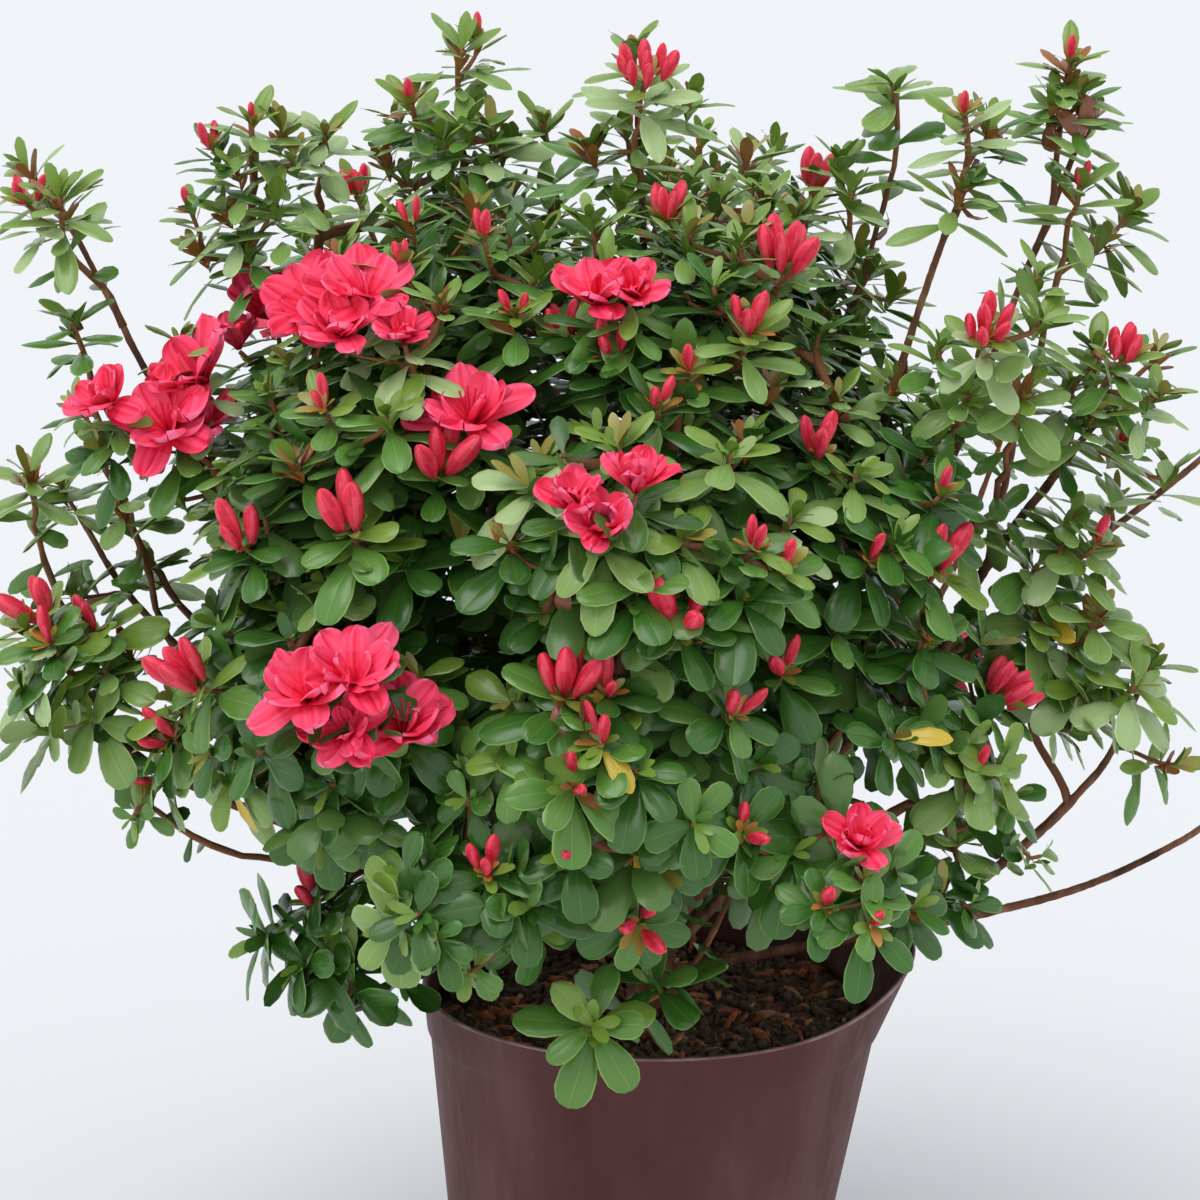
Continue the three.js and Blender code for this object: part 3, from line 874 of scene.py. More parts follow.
def photo_shoots(surface, limbs, ends):
    """The tips that can be told apart in the photo, and one at each bough's end."""
    shoots = []
    for spots in LONG_SHOOTS:
        line = long_line(surface, limbs, spots)
        axis = unit(unit(line[0] - line[1]) + LONG_SHOOT_LIFT * UP)
        buds = next((n for *spot, n in BUD_CLUSTERS if apart(spot, spots[0]) < LONG_BUD_REACH), 0)
        shoots.append(Shoot(line[0], axis, buds, spot=spots[0], line=line[::-1]))
    groups = [(x, y, 0, ((width, flare),)) for x, y, width, flare in OPEN_FLOWERS]
    groups += [(x, y, buds, ()) for x, y, buds in BUD_CLUSTERS]
    groups += [(x, y, 0, ()) for x, y in LEAFY_TIPS]
    for x, y, buds, flowers in groups:
        place, normal = surface.behind(x, y)
        near = min(np.linalg.norm(place - shoot.place) for shoot in shoots)
        if not flowers and near < FEATURE_SPACING:
            continue
        place = place - normal * (0 if flowers else TIP_DEPTH / 2)
        shoots.append(Shoot(place, growth_axis(place, normal), buds, flowers, spot=(x, y)))
    shoots += [Shoot(place, unit(np.array(place) - CROWN_FOOT)) for place in BACK_TIPS]
    for end, way in ends:
        place = end + way * FEATURE_SPACING
        if min(np.linalg.norm(place - shoot.place) for shoot in shoots) > FEATURE_SPACING:
            shoots.append(Shoot(place, unit(way + UP)))
    return shoots


def scatter(surface, spacing, depth, taken, outside):
    """Places at least one spacing apart, on the crown's outside or sunk in its main masses."""
    faces = np.arange(len(surface.corners)) if outside else np.flatnonzero(~surface.outlying)
    a, b, c = (surface.points[surface.corners[faces, i]] for i in range(3))
    cross = np.cross(b - a, c - a)
    area = np.linalg.norm(cross, axis=1) / 2
    normals = cross / np.maximum(area * 2, TINY_AREA)[:, None]
    tries = int(area.sum() / spacing ** 2 * TRIES_PER_PLACE)
    chosen = rng.choice(len(area), tries, p=area / area.sum())
    u, v = rng.random((2, tries, 1))
    flip = (u + v) > 1
    u, v = np.where(flip, 1 - u, u), np.where(flip, 1 - v, v)
    spots = a[chosen] + (b - a)[chosen] * u + (c - a)[chosen] * v
    near = np.full((len(taken) + tries, 3), FAR_OFF)
    near[:len(taken)] = taken
    count = len(taken)
    kept = []
    for spot, normal, tip in zip(spots, normals[chosen], surface.outlying[faces[chosen]]):
        place = spot - normal * depth
        if place[2] < LOWEST_TIP or normal @ unit(spot - CROWN_MIDDLE) < LEAST_FACING:
            continue
        if ((near[:count + 1] - place) ** 2).sum(1).min() < spacing ** 2:
            continue
        if outside and surface.covered(spot, normal):
            continue
        near[count] = place
        count += 1
        if is_open(place) or (tip and place[1] < SEEN_FROM and rng.random() < TIP_THINNING):
            continue
        kept.append((place, normal))
    return kept


def is_open(place):
    """Whether the photo shows a gap, compost or pot there, and no leaves."""
    seen = photo_point(place)
    if within(seen, GAPS) or (place[1] < 0 and within(seen, CLEARINGS)):
        return True
    if within(seen, SPARSE_PLACES) and rng.random() < SPARSE_SHARE:
        return True
    if within(seen, DENSE_PLACES) or seen[0] > PHOTO_SIDE + TIP_REACH:
        return False
    tips = LEAFY_TIPS + BUD_CLUSTERS + tuple(spots[0] for spots in LONG_SHOOTS)
    return min(apart(seen, tip) for tip in tips) > TIP_REACH or place[1] < SEEN_FROM


def apart(one, other):
    """How far apart two points of the photo are, across and down together."""
    return abs(one[0] - other[0]) + abs(one[1] - other[1])


def hidden_blossom(place):
    """How many buds a tip carries where the photo doesn't show it, and which open flowers."""
    choice = rng.random()
    if place[1] <= SEEN_FROM or photo_point(place)[1] < SKYLINE or choice >= BUD_SHARE:
        return 0, ()
    if choice >= FLOWER_SHARE:
        return int(rng.integers(*BUD_COUNTS)), ()
    count = rng.integers(*FLOWER_COUNTS)
    return 0, tuple((rng.uniform(*FLOWER_WIDTHS), rng.uniform(*FLOWER_FLARES)) for _ in range(count))


def all_shoots(surface, network):
    chains = [numbers for kind, numbers in network.chains if kind == "limb"]
    limbs = np.array([network.points[i] for numbers in chains for i in numbers])
    ends = [(network.points[numbers[-1]], network.tangent(numbers[-1])) for numbers in chains]
    shoots = photo_shoots(surface, limbs, ends)
    taken = np.array([shoot.place for shoot in shoots])
    for place, normal in scatter(surface, OUTER_SPACING, TIP_DEPTH, taken, True):
        blossom = hidden_blossom(place)
        shoots.append(Shoot(place, growth_axis(place, normal), *blossom))
    for spacing, depth in INNER_LAYERS:
        for place, normal in scatter(surface, spacing, depth, taken[:0], False):
            shoots.append(Shoot(place, growth_axis(place, normal), inner=True))
    shoots += [Shoot(place, growth_axis(place, UP), inner=True) for place in core_places()]
    return shoots


def core_places():
    """Places at least one spacing apart in the inner part of the crown."""
    kept = []
    for offset in rng.uniform(-1, 1, (CORE_TRIES, 3)):
        place = CROWN_MIDDLE + offset * CORE_HALF
        if np.linalg.norm(offset) > 1 or is_open(place):
            continue
        if all(np.linalg.norm(place - other) > CORE_SPACING for other in kept):
            kept.append(place)
    return kept


# Limbs and twigs


def catmull(points, step):
    """A smooth line through the points, with a point at every step."""
    points = np.asarray(points)
    ends = np.concatenate((2 * points[:1] - points[1:2], points, 2 * points[-1:] - points[-2:-1]))
    line = []
    for p0, p1, p2, p3 in zip(ends, ends[1:], ends[2:], ends[3:]):
        count = max(2, int(np.linalg.norm(p2 - p1) / step))
        for t in np.linspace(0, 1, count, endpoint=False):
            line.append(0.5 * (2 * p1 + (p2 - p0) * t + (2 * p0 - 5 * p1 + 4 * p2 - p3) * t ** 2
                               + (3 * p1 - p0 - 3 * p2 + p3) * t ** 3))
    line.append(points[-1])
    return np.array(line)


def bezier(points, count):
    t = np.linspace(0, 1, count)[:, None]
    a, b, c, d = points
    return (1 - t) ** 3 * a + 3 * (1 - t) ** 2 * t * b + 3 * (1 - t) * t ** 2 * c + t ** 3 * d


def limb_middle(frame, name, foot):
    """A limb's middle line, from the rings of points that its solid is made of."""
    points, _ = node_arrays(frame, name)
    middle = points.mean(0)
    ends = points[np.argmax(np.linalg.norm(points - middle, axis=1))]
    other = points[np.argmax(np.linalg.norm(points - ends, axis=1))]
    low = ends if np.linalg.norm(ends - foot) < np.linalg.norm(other - foot) else other
    away = np.linalg.norm(points - low, axis=1)
    order = np.argsort(away)
    breaks = np.flatnonzero(np.diff(away[order]) > RING_GAP) + 1
    return [points[group].mean(0) for group in np.split(order, breaks)]


class Network:
    """Every limb and twig as points that each grow on from an earlier one."""

    def __init__(self):
        self.points = []
        self.parents = []
        self.widths = []
        self.chains = []

    def add_chain(self, line, parent, widths, kind):
        numbers = []
        for point, width in zip(line, widths):
            self.points.append(point)
            self.parents.append(parent)
            self.widths.append(width)
            parent = len(self.points) - 1
            numbers.append(parent)
        self.chains.append((kind, numbers))
        return numbers

    def nearest(self, point):
        return int(np.argmin(np.linalg.norm(np.array(self.points) - point, axis=1)))

    def tangent(self, number):
        parent = self.parents[number]
        if parent < 0:
            return UP
        return unit(self.points[number] - self.points[parent])


def lay_limbs(frame, limb_names, mass_middles):
    """The stem and the boughs, where their solids are, each bough carried on into its mass."""
    network = Network()
    low, high = (np.array(corner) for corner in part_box("stem"))
    foot = np.array(((low[0] + high[0]) / 2, (low[1] + high[1]) / 2, low[2]))
    top = np.array((*(foot[:2] + STEM_TOP_SHIFT), high[2]))
    heights = np.linspace(0, 1, STEM_RINGS)
    stem = foot + (top - foot) * heights[:, None]
    network.add_chain(stem, -1, STEM_FOOT_RADIUS - STEM_TAPER * np.sqrt(heights), "stem")
    middles = {name: limb_middle(frame, name, foot) for name in limb_names}
    for name in sorted(middles, key=lambda name: np.linalg.norm(middles[name][0] - top)):
        line = middles[name]
        start = network.nearest(line[0])
        target = mass_middles[name.replace("bough", "tip")]
        line = catmull([network.points[start], *line, target], BOUGH_STEP)
        along = np.linspace(0, 1, len(line))
        widths = mix(BOUGH_FOOT_RADIUS, BOUGH_TIP_RADIUS, along ** BOUGH_TAPER)
        network.add_chain(line[1:], start, widths[1:], "limb")
    return network


def grow_twigs(network, shoots):
    """Joins every shoot to the nearest wood that it could have grown from, the closest first."""
    feet = np.array([shoot.place if shoot.line is None else shoot.line[0] for shoot in shoots])
    aims = [CROWN_AIM * unit(foot - CROWN_FOOT) + SHOOT_AIM * shoot.axis for foot, shoot in zip(feet, shoots)]
    wanted = np.array([unit(aim) for aim in aims])
    best = np.full(len(shoots), np.inf)
    source = np.zeros(len(shoots), int)
    waiting = np.ones(len(shoots), bool)
    fresh = list(range(len(network.points)))
    rows = np.arange(len(shoots))
    while waiting.any():
        wood = np.array([network.points[i] for i in fresh])
        span = feet[:, None] - wood[None]
        length = np.linalg.norm(span, axis=2)
        turn = 1 - np.einsum("ijk,ik->ij", span, wanted) / np.maximum(length, TINY_LENGTH)
        cost = length * (1 + TURN_COST * turn) + np.where(length < SHORT_TWIG, SHORT_COST, 0)
        nearest = cost.argmin(1)
        better = cost[rows, nearest] < best
        best = np.where(better, cost[rows, nearest], best)
        source = np.where(better, np.array(fresh)[nearest], source)
        chosen = int(np.where(waiting, best, np.inf).argmin())
        waiting[chosen] = False
        shoot = shoots[chosen]
        start = int(source[chosen])
        shoot.path = twig_path(network, start, feet[chosen], shoot)
        least = np.linspace(*((0, 0) if shoot.line is None else LONG_SHOOT_RADII), len(shoot.path) - 1)
        numbers = network.add_chain(shoot.path[1:], start, least, "twig")
        fresh = numbers[:max(1, int(len(numbers) * FORKING_PART))]


def twig_path(network, start, foot, shoot):
    """A twig's line from the wood that it leaves to its tip."""
    origin = network.points[start]
    reach = np.linalg.norm(foot - origin)
    noise = rng.normal(0, LEAVE_NOISE, 3)
    leave = unit(LEAVE_ALONG * network.tangent(start) + unit(foot - origin) + noise)
    arrive = shoot.axis if shoot.line is None else unit(shoot.line[1] - shoot.line[0])
    controls = (origin, origin + leave * reach * BEND_REACH, foot - arrive * reach * BEND_REACH, foot)
    line = bezier(controls, max(4, int(reach / TWIG_STEP) + 2))
    if shoot.line is None:
        return line
    own = catmull(shoot.line, TWIG_STEP)
    return np.concatenate((line, own[1:] + rng.normal(0, LONG_SHOOT_NOISE, (len(own) - 1, 3))))


def thicken(network):
    """A piece of wood is as thick as the number of shoots beyond it asks."""
    carried = np.zeros(len(network.points))
    for kind, numbers in network.chains:
        if kind == "twig":
            carried[numbers[-1]] += 1
    for number in range(len(carried) - 1, -1, -1):
        if network.parents[number] >= 0:
            carried[network.parents[number]] += carried[number]
    wide = np.minimum(TWIG_RADIUS * np.maximum(carried, 1) ** TWIG_THICKENING, TWIG_MOST)
    network.widths = np.maximum(np.array(network.widths), wide)


def tube(line, widths, sides, relief=0.0):
    """A round rod along the line, its ends drawn in, with bark relief if asked."""
    steps = np.gradient(line, axis=0)
    steps /= np.maximum(np.linalg.norm(steps, axis=1), TINY)[:, None]
    first, _ = sideways(steps[0])
    across = np.empty_like(line)
    for i, step in enumerate(steps):
        first = unit(first - step * (first @ step))
        across[i] = first
    angles = np.linspace(0, FULL_TURN, sides, endpoint=False)[None, :, None]
    ring = np.cos(angles) * across[:, None] + np.sin(angles) * np.cross(steps, across)[:, None]
    radius = np.repeat(widths[:, None], sides, 1)
    if relief:
        turns = angles[:, :, 0] * BARK_RIDGES + np.linspace(0, BARK_TWIST, len(line))[:, None]
        rough = RIDGE_SHARE * np.sin(turns) + rng.normal(0, KNOB_SHARE, radius.shape)
        radius = radius * (1 + relief * rough)
    points = line[:, None] + ring * radius[:, :, None]
    start = line[0] + ring[0] * widths[0] * ROD_END
    end = line[-1] + ring[-1] * widths[-1] * ROD_END
    points = np.concatenate((start[None], points, end[None])).reshape(-1, 3)
    return points, grid_quads(len(line) + 2, sides, True)


def build_wood(network):
    limbs, twigs = Pile(), Pile()
    points = np.array(network.points)
    for kind, numbers in network.chains:
        parent = network.parents[numbers[0]]
        line = points[[parent, *numbers]] if parent >= 0 else points[numbers]
        widths = network.widths[numbers]
        if parent >= 0:
            widths = np.concatenate((widths[:1], widths))
        if kind == "twig":
            knots = widths * rng.uniform(*TWIG_KNOTS, len(widths))
            rod, quads = tube(line, knots, TWIG_SIDES)
            left = np.linalg.norm(np.diff(line, axis=0), axis=1)[::-1].cumsum()[::-1]
            young = np.concatenate(([left[0]], left, [0.0])) < YOUNG_WOOD
            twigs.add(rod, quads, np.repeat(np.where(young, 1, 0), TWIG_SIDES)[:len(quads)])
            continue
        fine = catmull(line, BARK_STEP)
        fine_widths = np.interp(np.linspace(0, 1, len(fine)), np.linspace(0, 1, len(line)), widths)
        if kind == "limb":
            fine_widths[:len(COLLAR)] *= COLLAR
        rod, quads = tube(fine, fine_widths, STEM_SIDES if kind == "stem" else BOUGH_SIDES, BARK_RELIEF)
        limbs.add(rod, quads, 0)
    young_bark = plain("young_bark", "#915d3c", roughness=0.6, specular=0.35)
    twigs.build("twigs", [plain("twig_bark", "#7c5137", roughness=0.75, specular=0.3), young_bark], "bark")
    bark = grained("bark", BARK_TONES, roughness=(0.7, 0.95), specular=0.3,
                   grain=(120, (1, 1, 0.35)), relief=(420, (1, 1, 0.3), 0.0008))
    return limbs.build("stem_and_boughs", [bark], "bark")


# Leaves


class Leaves:
    """Every leaf by colour and fineness, each with its own place, size and bend."""

    def __init__(self):
        self.rows = {}

    def add(self, colour, shape, place, way, face, size):
        """size holds length, width, bend, fold and how round the leaf is."""
        self.rows.setdefault((colour, shape), []).append((*place, *way, *face, *size))

    def points(self, rows, shape):
        data = np.array(rows)
        place, way, face = data[:, 0:3], data[:, 3:6], data[:, 6:9]
        length, width, bend, fold, roundness = (data[:, i][:, None, None] for i in range(9, 14))
        way = way / np.linalg.norm(way, axis=1)[:, None]
        across = np.cross(way, face)
        across /= np.linalg.norm(across, axis=1)[:, None]
        face = np.cross(across, way)
        s = np.array(LEAF_SHAPES[shape][0])[None, :, None]
        u = np.array(LEAF_SHAPES[shape][1])[None, None, :]
        half = width / 2 * leaf_outline(s, roundness)
        wave = rng.uniform(*START_ANGLES, (len(data), 1, 1))
        rise = half * (np.tan(fold) * np.abs(u) - EDGE_DROOP * np.abs(u) ** 3)
        rise = rise + width * RIPPLE * np.sin(s * RIPPLES_ALONG + wave + u * RIPPLES_ACROSS) * np.abs(u)
        curve = bend * s
        forward = length * np.sin(curve) / bend + rise * np.sin(curve)
        up = -length * (1 - np.cos(curve)) / bend + rise * np.cos(curve)
        spread = zip((half * u, forward, up), (across, way, face))
        return (place[:, None, None] + sum(k[..., None] * v[:, None, None] for k, v in spread)).reshape(-1, 3)

    def build(self, masses):
        for (colour, shape), rows in self.rows.items():
            along, across, strips = LEAF_SHAPES[shape]
            quads = grid_quads(len(along), len(across), False)
            kinds = np.tile(strips, len(along) - 1)
            names = ("leaf", "rim_highlight", "rib")[:max(strips) + 1]
            materials = [plain(f"{name}_{colour}_{shape}", tone, LEAF_ROUGHNESS, LEAF_GLOSS)
                         for name, tone in zip(names, LEAF_COLOURS[colour])]
            for piece, start in enumerate(range(0, len(rows), LEAVES_PER_PIECE)):
                chosen = rows[start:start + LEAVES_PER_PIECE]
                offsets = np.arange(len(chosen))[:, None, None] * len(along) * len(across)
                pile = Pile()
                faces = (quads + offsets).reshape(-1, 4)
                pile.add(self.points(chosen, shape), faces, np.tile(kinds, len(chosen)))
                made = pile.build(f"leaves_{colour}_{shape}_{piece + 1}", materials, "foliage")
                if colour == "green":
                    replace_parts(made, *masses)


def leaf_outline(s, roundness):
    """How wide a leaf is along its length: slender and pointed, or widest near a blunt tip."""
    peak = mix(*WIDEST, roundness)
    blunt = mix(*BLUNTNESS, roundness)
    rise = blunt * peak / (1 - peak)
    wide = (s / peak) ** rise * ((1 - s) / (1 - peak)) ** blunt
    return np.maximum(wide, mix(*LEAST_WIDTHS, s))


def leaf_out(leaves, colour, shape, place, axis, angle, lean, size):
    """A leaf standing out from an axis, its upper face turned to the tip."""
    out = around(axis, angle)
    way = unit(out * math.sin(lean) + axis * math.cos(lean) - LEAF_SAG * UP)
    face = unit(axis * math.sin(lean) - out * math.cos(lean) + rng.normal(0, LEAF_TURN_NOISE, 3))
    leaves.add(colour, shape, place, way, face, size)


def shoot_colours(shoot):
    """The colours of a shoot's full-grown, young and old leaves. The young tone is also a painted highlight
    on up-facing leaves, and the darker old one also paints shade down the twig.
    """
    # Inner leaves take the lightened inner tone, painted fill light
    if shoot.inner:
        return "shade", rng.choice(GROWN_TONES[:2]), "shade"
    # Low leaves lean to darker tones as painted shade, high and outer ones to pale tones as painted light
    shares = mix(LOW_SHADED_SHARES, LIT_PALE_SHARES, shoot.pale)
    grown = int(rng.choice(len(shares), p=shares)) + 1
    young = GROWN_TONES[grown + 1] if grown < FRESH_FROM else "fresh"
    return GROWN_TONES[grown], young, GROWN_TONES[grown - 1]


def leaf_size(length, shoot):
    """A leaf's length, width, bend, fold and roundness."""
    ratio = mix(*LEAF_RATIOS, shoot.slender) * rng.uniform(*RATIO_SPREAD)
    roundness = np.clip(1.0 - SLENDER_LOSS * shoot.slender + rng.normal(0, ROUNDNESS_NOISE), 0, 1)
    return length, length * ratio, rng.uniform(*BENDS), rng.uniform(*FOLDS), roundness


def inner_shape(shoot):
    """Inner leaves are plainest where the outer ones hide them."""
    return "plain" if shoot.place[1] < INNER_PLAIN_FROM else "coarse"


def dress_shoot(shoot, leaves):
    """A whorl of leaves at the tip, young ones within it and others down the twig."""
    grown, young, old_shaded = shoot_colours(shoot)
    start = rng.uniform(*START_ANGLES)
    shape = inner_shape(shoot) if shoot.inner else "fine"
    count = rng.integers(*WHORL_COUNTS) + int(SLENDER_MORE * shoot.slender)
    depth = mix(*WHORL_DEPTHS, shoot.slender)
    close = FLOWER_CLOSING if shoot.flowers else mix(*WHORL_CLOSINGS, shoot.slender)
    sink = FLOWER_SINK if shoot.flowers else 0
    for i in range(count):
        rank = i / (count - 1)
        lean = math.radians(90 - close * rank + rng.normal(0, LEAN_NOISE))
        length = LEAF_LENGTH * shoot.size * mix(*WHORL_LENGTHS, rank) * rng.uniform(*LENGTH_SPREAD)
        length *= mix(*LEAF_LENGTHS, shoot.slender)
        place = shoot.place - shoot.axis * (depth * (1 - rank) + sink)
        angle = start + i * GOLDEN_ANGLE
        # Up-facing leaves may take the lighter tone as a painted highlight
        lit = around(shoot.axis, angle)[2] > LIT_FROM or rank > MIDDLE_FROM
        colour = young if lit and rng.random() < YOUNG_AND_LIT_CHANCE else grown
        leaf_out(leaves, colour, shape, place, shoot.axis, angle, lean, leaf_size(length, shoot))
    if not shoot.inner:
        dress_tip(shoot, leaves, start, young)
    dress_twig(shoot, leaves, (grown, old_shaded), start)


def dress_tip(shoot, leaves, start, young):
    """The youngest leaves, upright in the middle of the whorl, and the scales round the buds."""
    few, more = GOLDEN_CHANCES
    colour = "young" if rng.random() < few + more * shoot.slender else "fresh"
    for i in range(SCALE_COUNT if shoot.buds else 0):
        length = rng.uniform(*SCALE_LENGTHS)
        lean = math.radians(rng.uniform(*SCALE_LEANS))
        leaf_out(leaves, "scale" if i % 2 else colour, "coarse", shoot.place, shoot.axis,
                 start + i * GOLDEN_ANGLE, lean, (length, length * SCALE_RATIO, *SCALE_CURVES))
    if shoot.bronze or rng.random() < BRONZE_CHANCE * shoot.slender:
        young = "bronze"
    for i in range(middle_count(shoot)):
        length = LEAF_LENGTH * shoot.size * rng.uniform(*YOUNGEST_LENGTHS)
        lean = math.radians(rng.uniform(*YOUNGEST_LEANS) + (BUD_LEAN if shoot.buds else 0))
        size = (length, length * YOUNGEST_RATIO, *(rng.uniform(*curve) for curve in YOUNGEST_CURVES))
        tier = i % YOUNGEST_TIERS
        place = shoot.place - shoot.axis * YOUNGEST_STEP * tier
        leaf_out(leaves, young if tier else colour, "coarse", place, shoot.axis,
                 start + YOUNGEST_TURN + i * GOLDEN_ANGLE, lean, size)


def middle_count(shoot):
    """How many leaves stand in the middle of a shoot's whorl."""
    if shoot.flowers:
        return 0
    if shoot.bronze:
        return BRONZE_LEAVES
    return LEAVES_BY_BUDS if shoot.buds else int(mix(*MIDDLE_LEAVES, shoot.slender))


def point_along(path, along, distance):
    """The point of a path at a distance from its start."""
    return np.array([np.interp(distance, along, path[:, axis]) for axis in range(3)])


def dress_twig(shoot, leaves, colours, start):
    """Leaves set in a spiral down the twig, close together near the tip and darker further down, as older
    leaves and painted shade between the whorls.
    """
    path = shoot.path[::-1]
    along = np.concatenate(([0], np.linalg.norm(np.diff(path, axis=0), axis=1).cumsum()))
    leafy = INNER_LEAFY_LENGTH if shoot.inner else mix(*LEAFY_LENGTHS, shoot.slender)
    reach = min(along[-1] * TWIG_LEAFY_SHARE, leafy)
    shape = inner_shape(shoot) if shoot.inner else "plain"
    distance, i = mix(*FIRST_LEAVES, shoot.slender), 0
    while distance < reach:
        place = point_along(path, along, distance)
        axis = unit(place - point_along(path, along, distance + LOOK_BACK))
        length = LEAF_LENGTH * shoot.size * rng.uniform(*TWIG_LEAF_LENGTHS)
        length *= mix(*LEAF_LENGTHS, shoot.slender)
        lean = math.radians(rng.uniform(*TWIG_LEAF_LEANS))
        # Leaves further down take the darker tone, partly painted shade
        colour = colours[0] if distance < DARKER_LEAVES_FROM * (1 + shoot.slender) else colours[1]
        leaf_out(leaves, colour, shape, place, axis,
                 start + i * GOLDEN_ANGLE, lean, leaf_size(length, shoot))
        i += 1
        distance += mix(*TWIG_LEAF_STEPS, min(distance / TWIG_LEAF_SPREAD, 1))


def single_leaves(surface, network, leaves):
    """The few yellowed and dried leaves, each on the wood nearest to where the photo shows it."""
    for spots, colour in ((YELLOW_LEAVES, "yellow"), (DRY_LEAVES, "dry")):
        for spot in spots:
            place, normal = surface.behind(*spot)
            foot = network.points[network.nearest(place)]
            noise = rng.normal(0, SINGLE_NOISE, 3)
            way = unit(unit(place - foot) + SINGLE_OUT * normal - SINGLE_DOWN * UP + noise)
            face = unit(normal + SINGLE_FACE_UP * UP)
            leaves.add(colour, "fine", foot, way, face, SINGLE_SIZES[colour])


# Blossom


def add_bud(pile, place, way, length, width):
    """A pointed bud of rolled petals, whose folds run round it in a slow spiral, with a painted highlight on
    their ridges and painted shade in their grooves.
    """
    first, second = sideways(way)
    angles = np.linspace(0, FULL_TURN, BUD_SIDES, endpoint=False)
    twist = BUD_ROWS[:, None] * BUD_TWIST + rng.uniform(*BUD_STARTS)
    folds = np.cos(BUD_FOLDS * (angles[None] - twist))
    radius = width / 2 * BUD_WIDTHS[:, None] * (1 + BUD_FOLD_DEPTH * folds)
    ring = np.cos(angles)[None, :, None] * first + np.sin(angles)[None, :, None] * second
    sway = around(way, rng.uniform(*START_ANGLES)) * length * rng.uniform(*BUD_SWAYS)
    middle = place + way * (BUD_ROWS * length)[:, None, None] + sway * (BUD_ROWS ** 2)[:, None, None]
    quads = grid_quads(len(BUD_ROWS), BUD_SIDES, True)
    # Ridges get the painted highlight tone, grooves the painted shade tone
    fold = folds[:-1].ravel()
    kinds = np.where(fold > BUD_HIGHLIGHT_FROM, BUD_RIDGE_HIGHLIGHT, np.where(fold < BUD_SHADE_TO, BUD_GROOVE_SHADE, BUD_RED))
    pile.add((middle + ring * radius[:, :, None]).reshape(-1, 3), quads, kinds)


def petal_outline(s):
    """A petal is drawn in at its foot, widest beyond its middle, and bluntly pointed at its end."""
    wide = (s / PETAL_PEAK) ** PETAL_RISE * ((1 - s) / (1 - PETAL_PEAK)) ** PETAL_BLUNT
    return np.maximum(wide, mix(*PETAL_LEAST_WIDTHS, s))


def add_petal(pile, place, axis, angle, length, width, flare):
    """A petal that rises from the throat and turns outwards, with a ruffled edge."""
    out = around(axis, angle)
    across = np.cross(axis, out)
    s = PETAL_ROWS[:, None]
    u = PETAL_COLUMNS[None]
    lean = PETAL_LEAN + flare * np.sin(np.minimum(s / PETAL_TURNED_AT, 1) * math.pi / 2)
    steps = np.diff(np.concatenate(((0,), PETAL_ROWS)))[:, None] * length
    outward = np.cumsum(np.sin(lean) * steps, axis=0)
    upward = np.cumsum(np.cos(lean) * steps, axis=0)
    half = width / 2 * petal_outline(s)
    ruffle = 0
    for (height, aside, along), roll in zip(PETAL_RUFFLES, rng.uniform(*START_ANGLES, 2)):
        ruffle = ruffle + height * np.sin(u * aside + s * along + roll)
    lift = width * s ** RUFFLE_GROWTH * ruffle - PETAL_CUP * half * (1 - u ** 2)
    reach_out = outward - lift * np.cos(lean)
    reach_up = upward + lift * np.sin(lean)
    points = place + out * reach_out[..., None] + axis * reach_up[..., None] + across * (half * u)[..., None]
    quads = grid_quads(len(PETAL_ROWS), len(PETAL_COLUMNS), False)
    kinds = PETAL_ROW_TONES[:, None] + PETAL_STREAKS[None] + rng.integers(*PETAL_TONE_SHIFTS)
    pile.add(points.reshape(-1, 3), quads, np.clip(kinds, 0, len(PETAL_COLOURS) - 1).ravel())


def add_flower(pile, place, axis, width, flare):
    """A half double flower, loose and a little uneven, with its stamens."""
    start = rng.uniform(*START_ANGLES)
    for ring, (scale, turn_out, count) in enumerate(PETAL_RINGS):
        for i in range(count):
            angle = start + ring * RING_SHIFT + i * FULL_TURN / count + rng.normal(0, PETAL_TURN_NOISE)
            long = width * scale * rng.uniform(*PETAL_LENGTHS)
            wide = width * scale * rng.uniform(*PETAL_WIDTHS)
            add_petal(pile, place, axis, angle, long, wide, flare * turn_out + rng.normal(0, FLARE_NOISE))
    for i in range(STAMEN_COUNT if flare > STAMENS_SHOW_FROM else 0):
        way = unit(axis + around(axis, start + i * STAMEN_SHIFT) * STAMEN_SPREAD) * width * STAMEN_LENGTH
        knots = [place + way * share for share in STAMEN_KNOTS]
        line = bezier((place, *knots, place + way + UP * STAMEN_RISE), len(STAMEN_RADII))
        points, quads = tube(line, STAMEN_RADII, STAMEN_SIDES)
        pile.add(points, quads, 0)


def dress_flowers(shoot, petals):
    """A shoot's open flowers, which face up, outwards and, on the photo's side, towards the camera."""
    outward = unit(shoot.place - CROWN_MIDDLE)
    shift = FLOWER_SHIFT if len(shoot.flowers) > 1 else 0
    for number, (width, flare) in enumerate(shoot.flowers):
        toward = unit(CAMERA_PLACE - shoot.place) if outward[1] < 0 else outward
        way = FACE_UP * UP + FACE_OUT * outward + FACE_CAMERA * toward
        way = unit(way + rng.normal(0, FACE_NOISE, 3))
        side = around(way, number * GOLDEN_ANGLE) * shift
        place = shoot.place + side + way * FLOWER_RISE
        add_flower(petals, place, unit(way + side * FLOWER_SPREAD), width, flare)


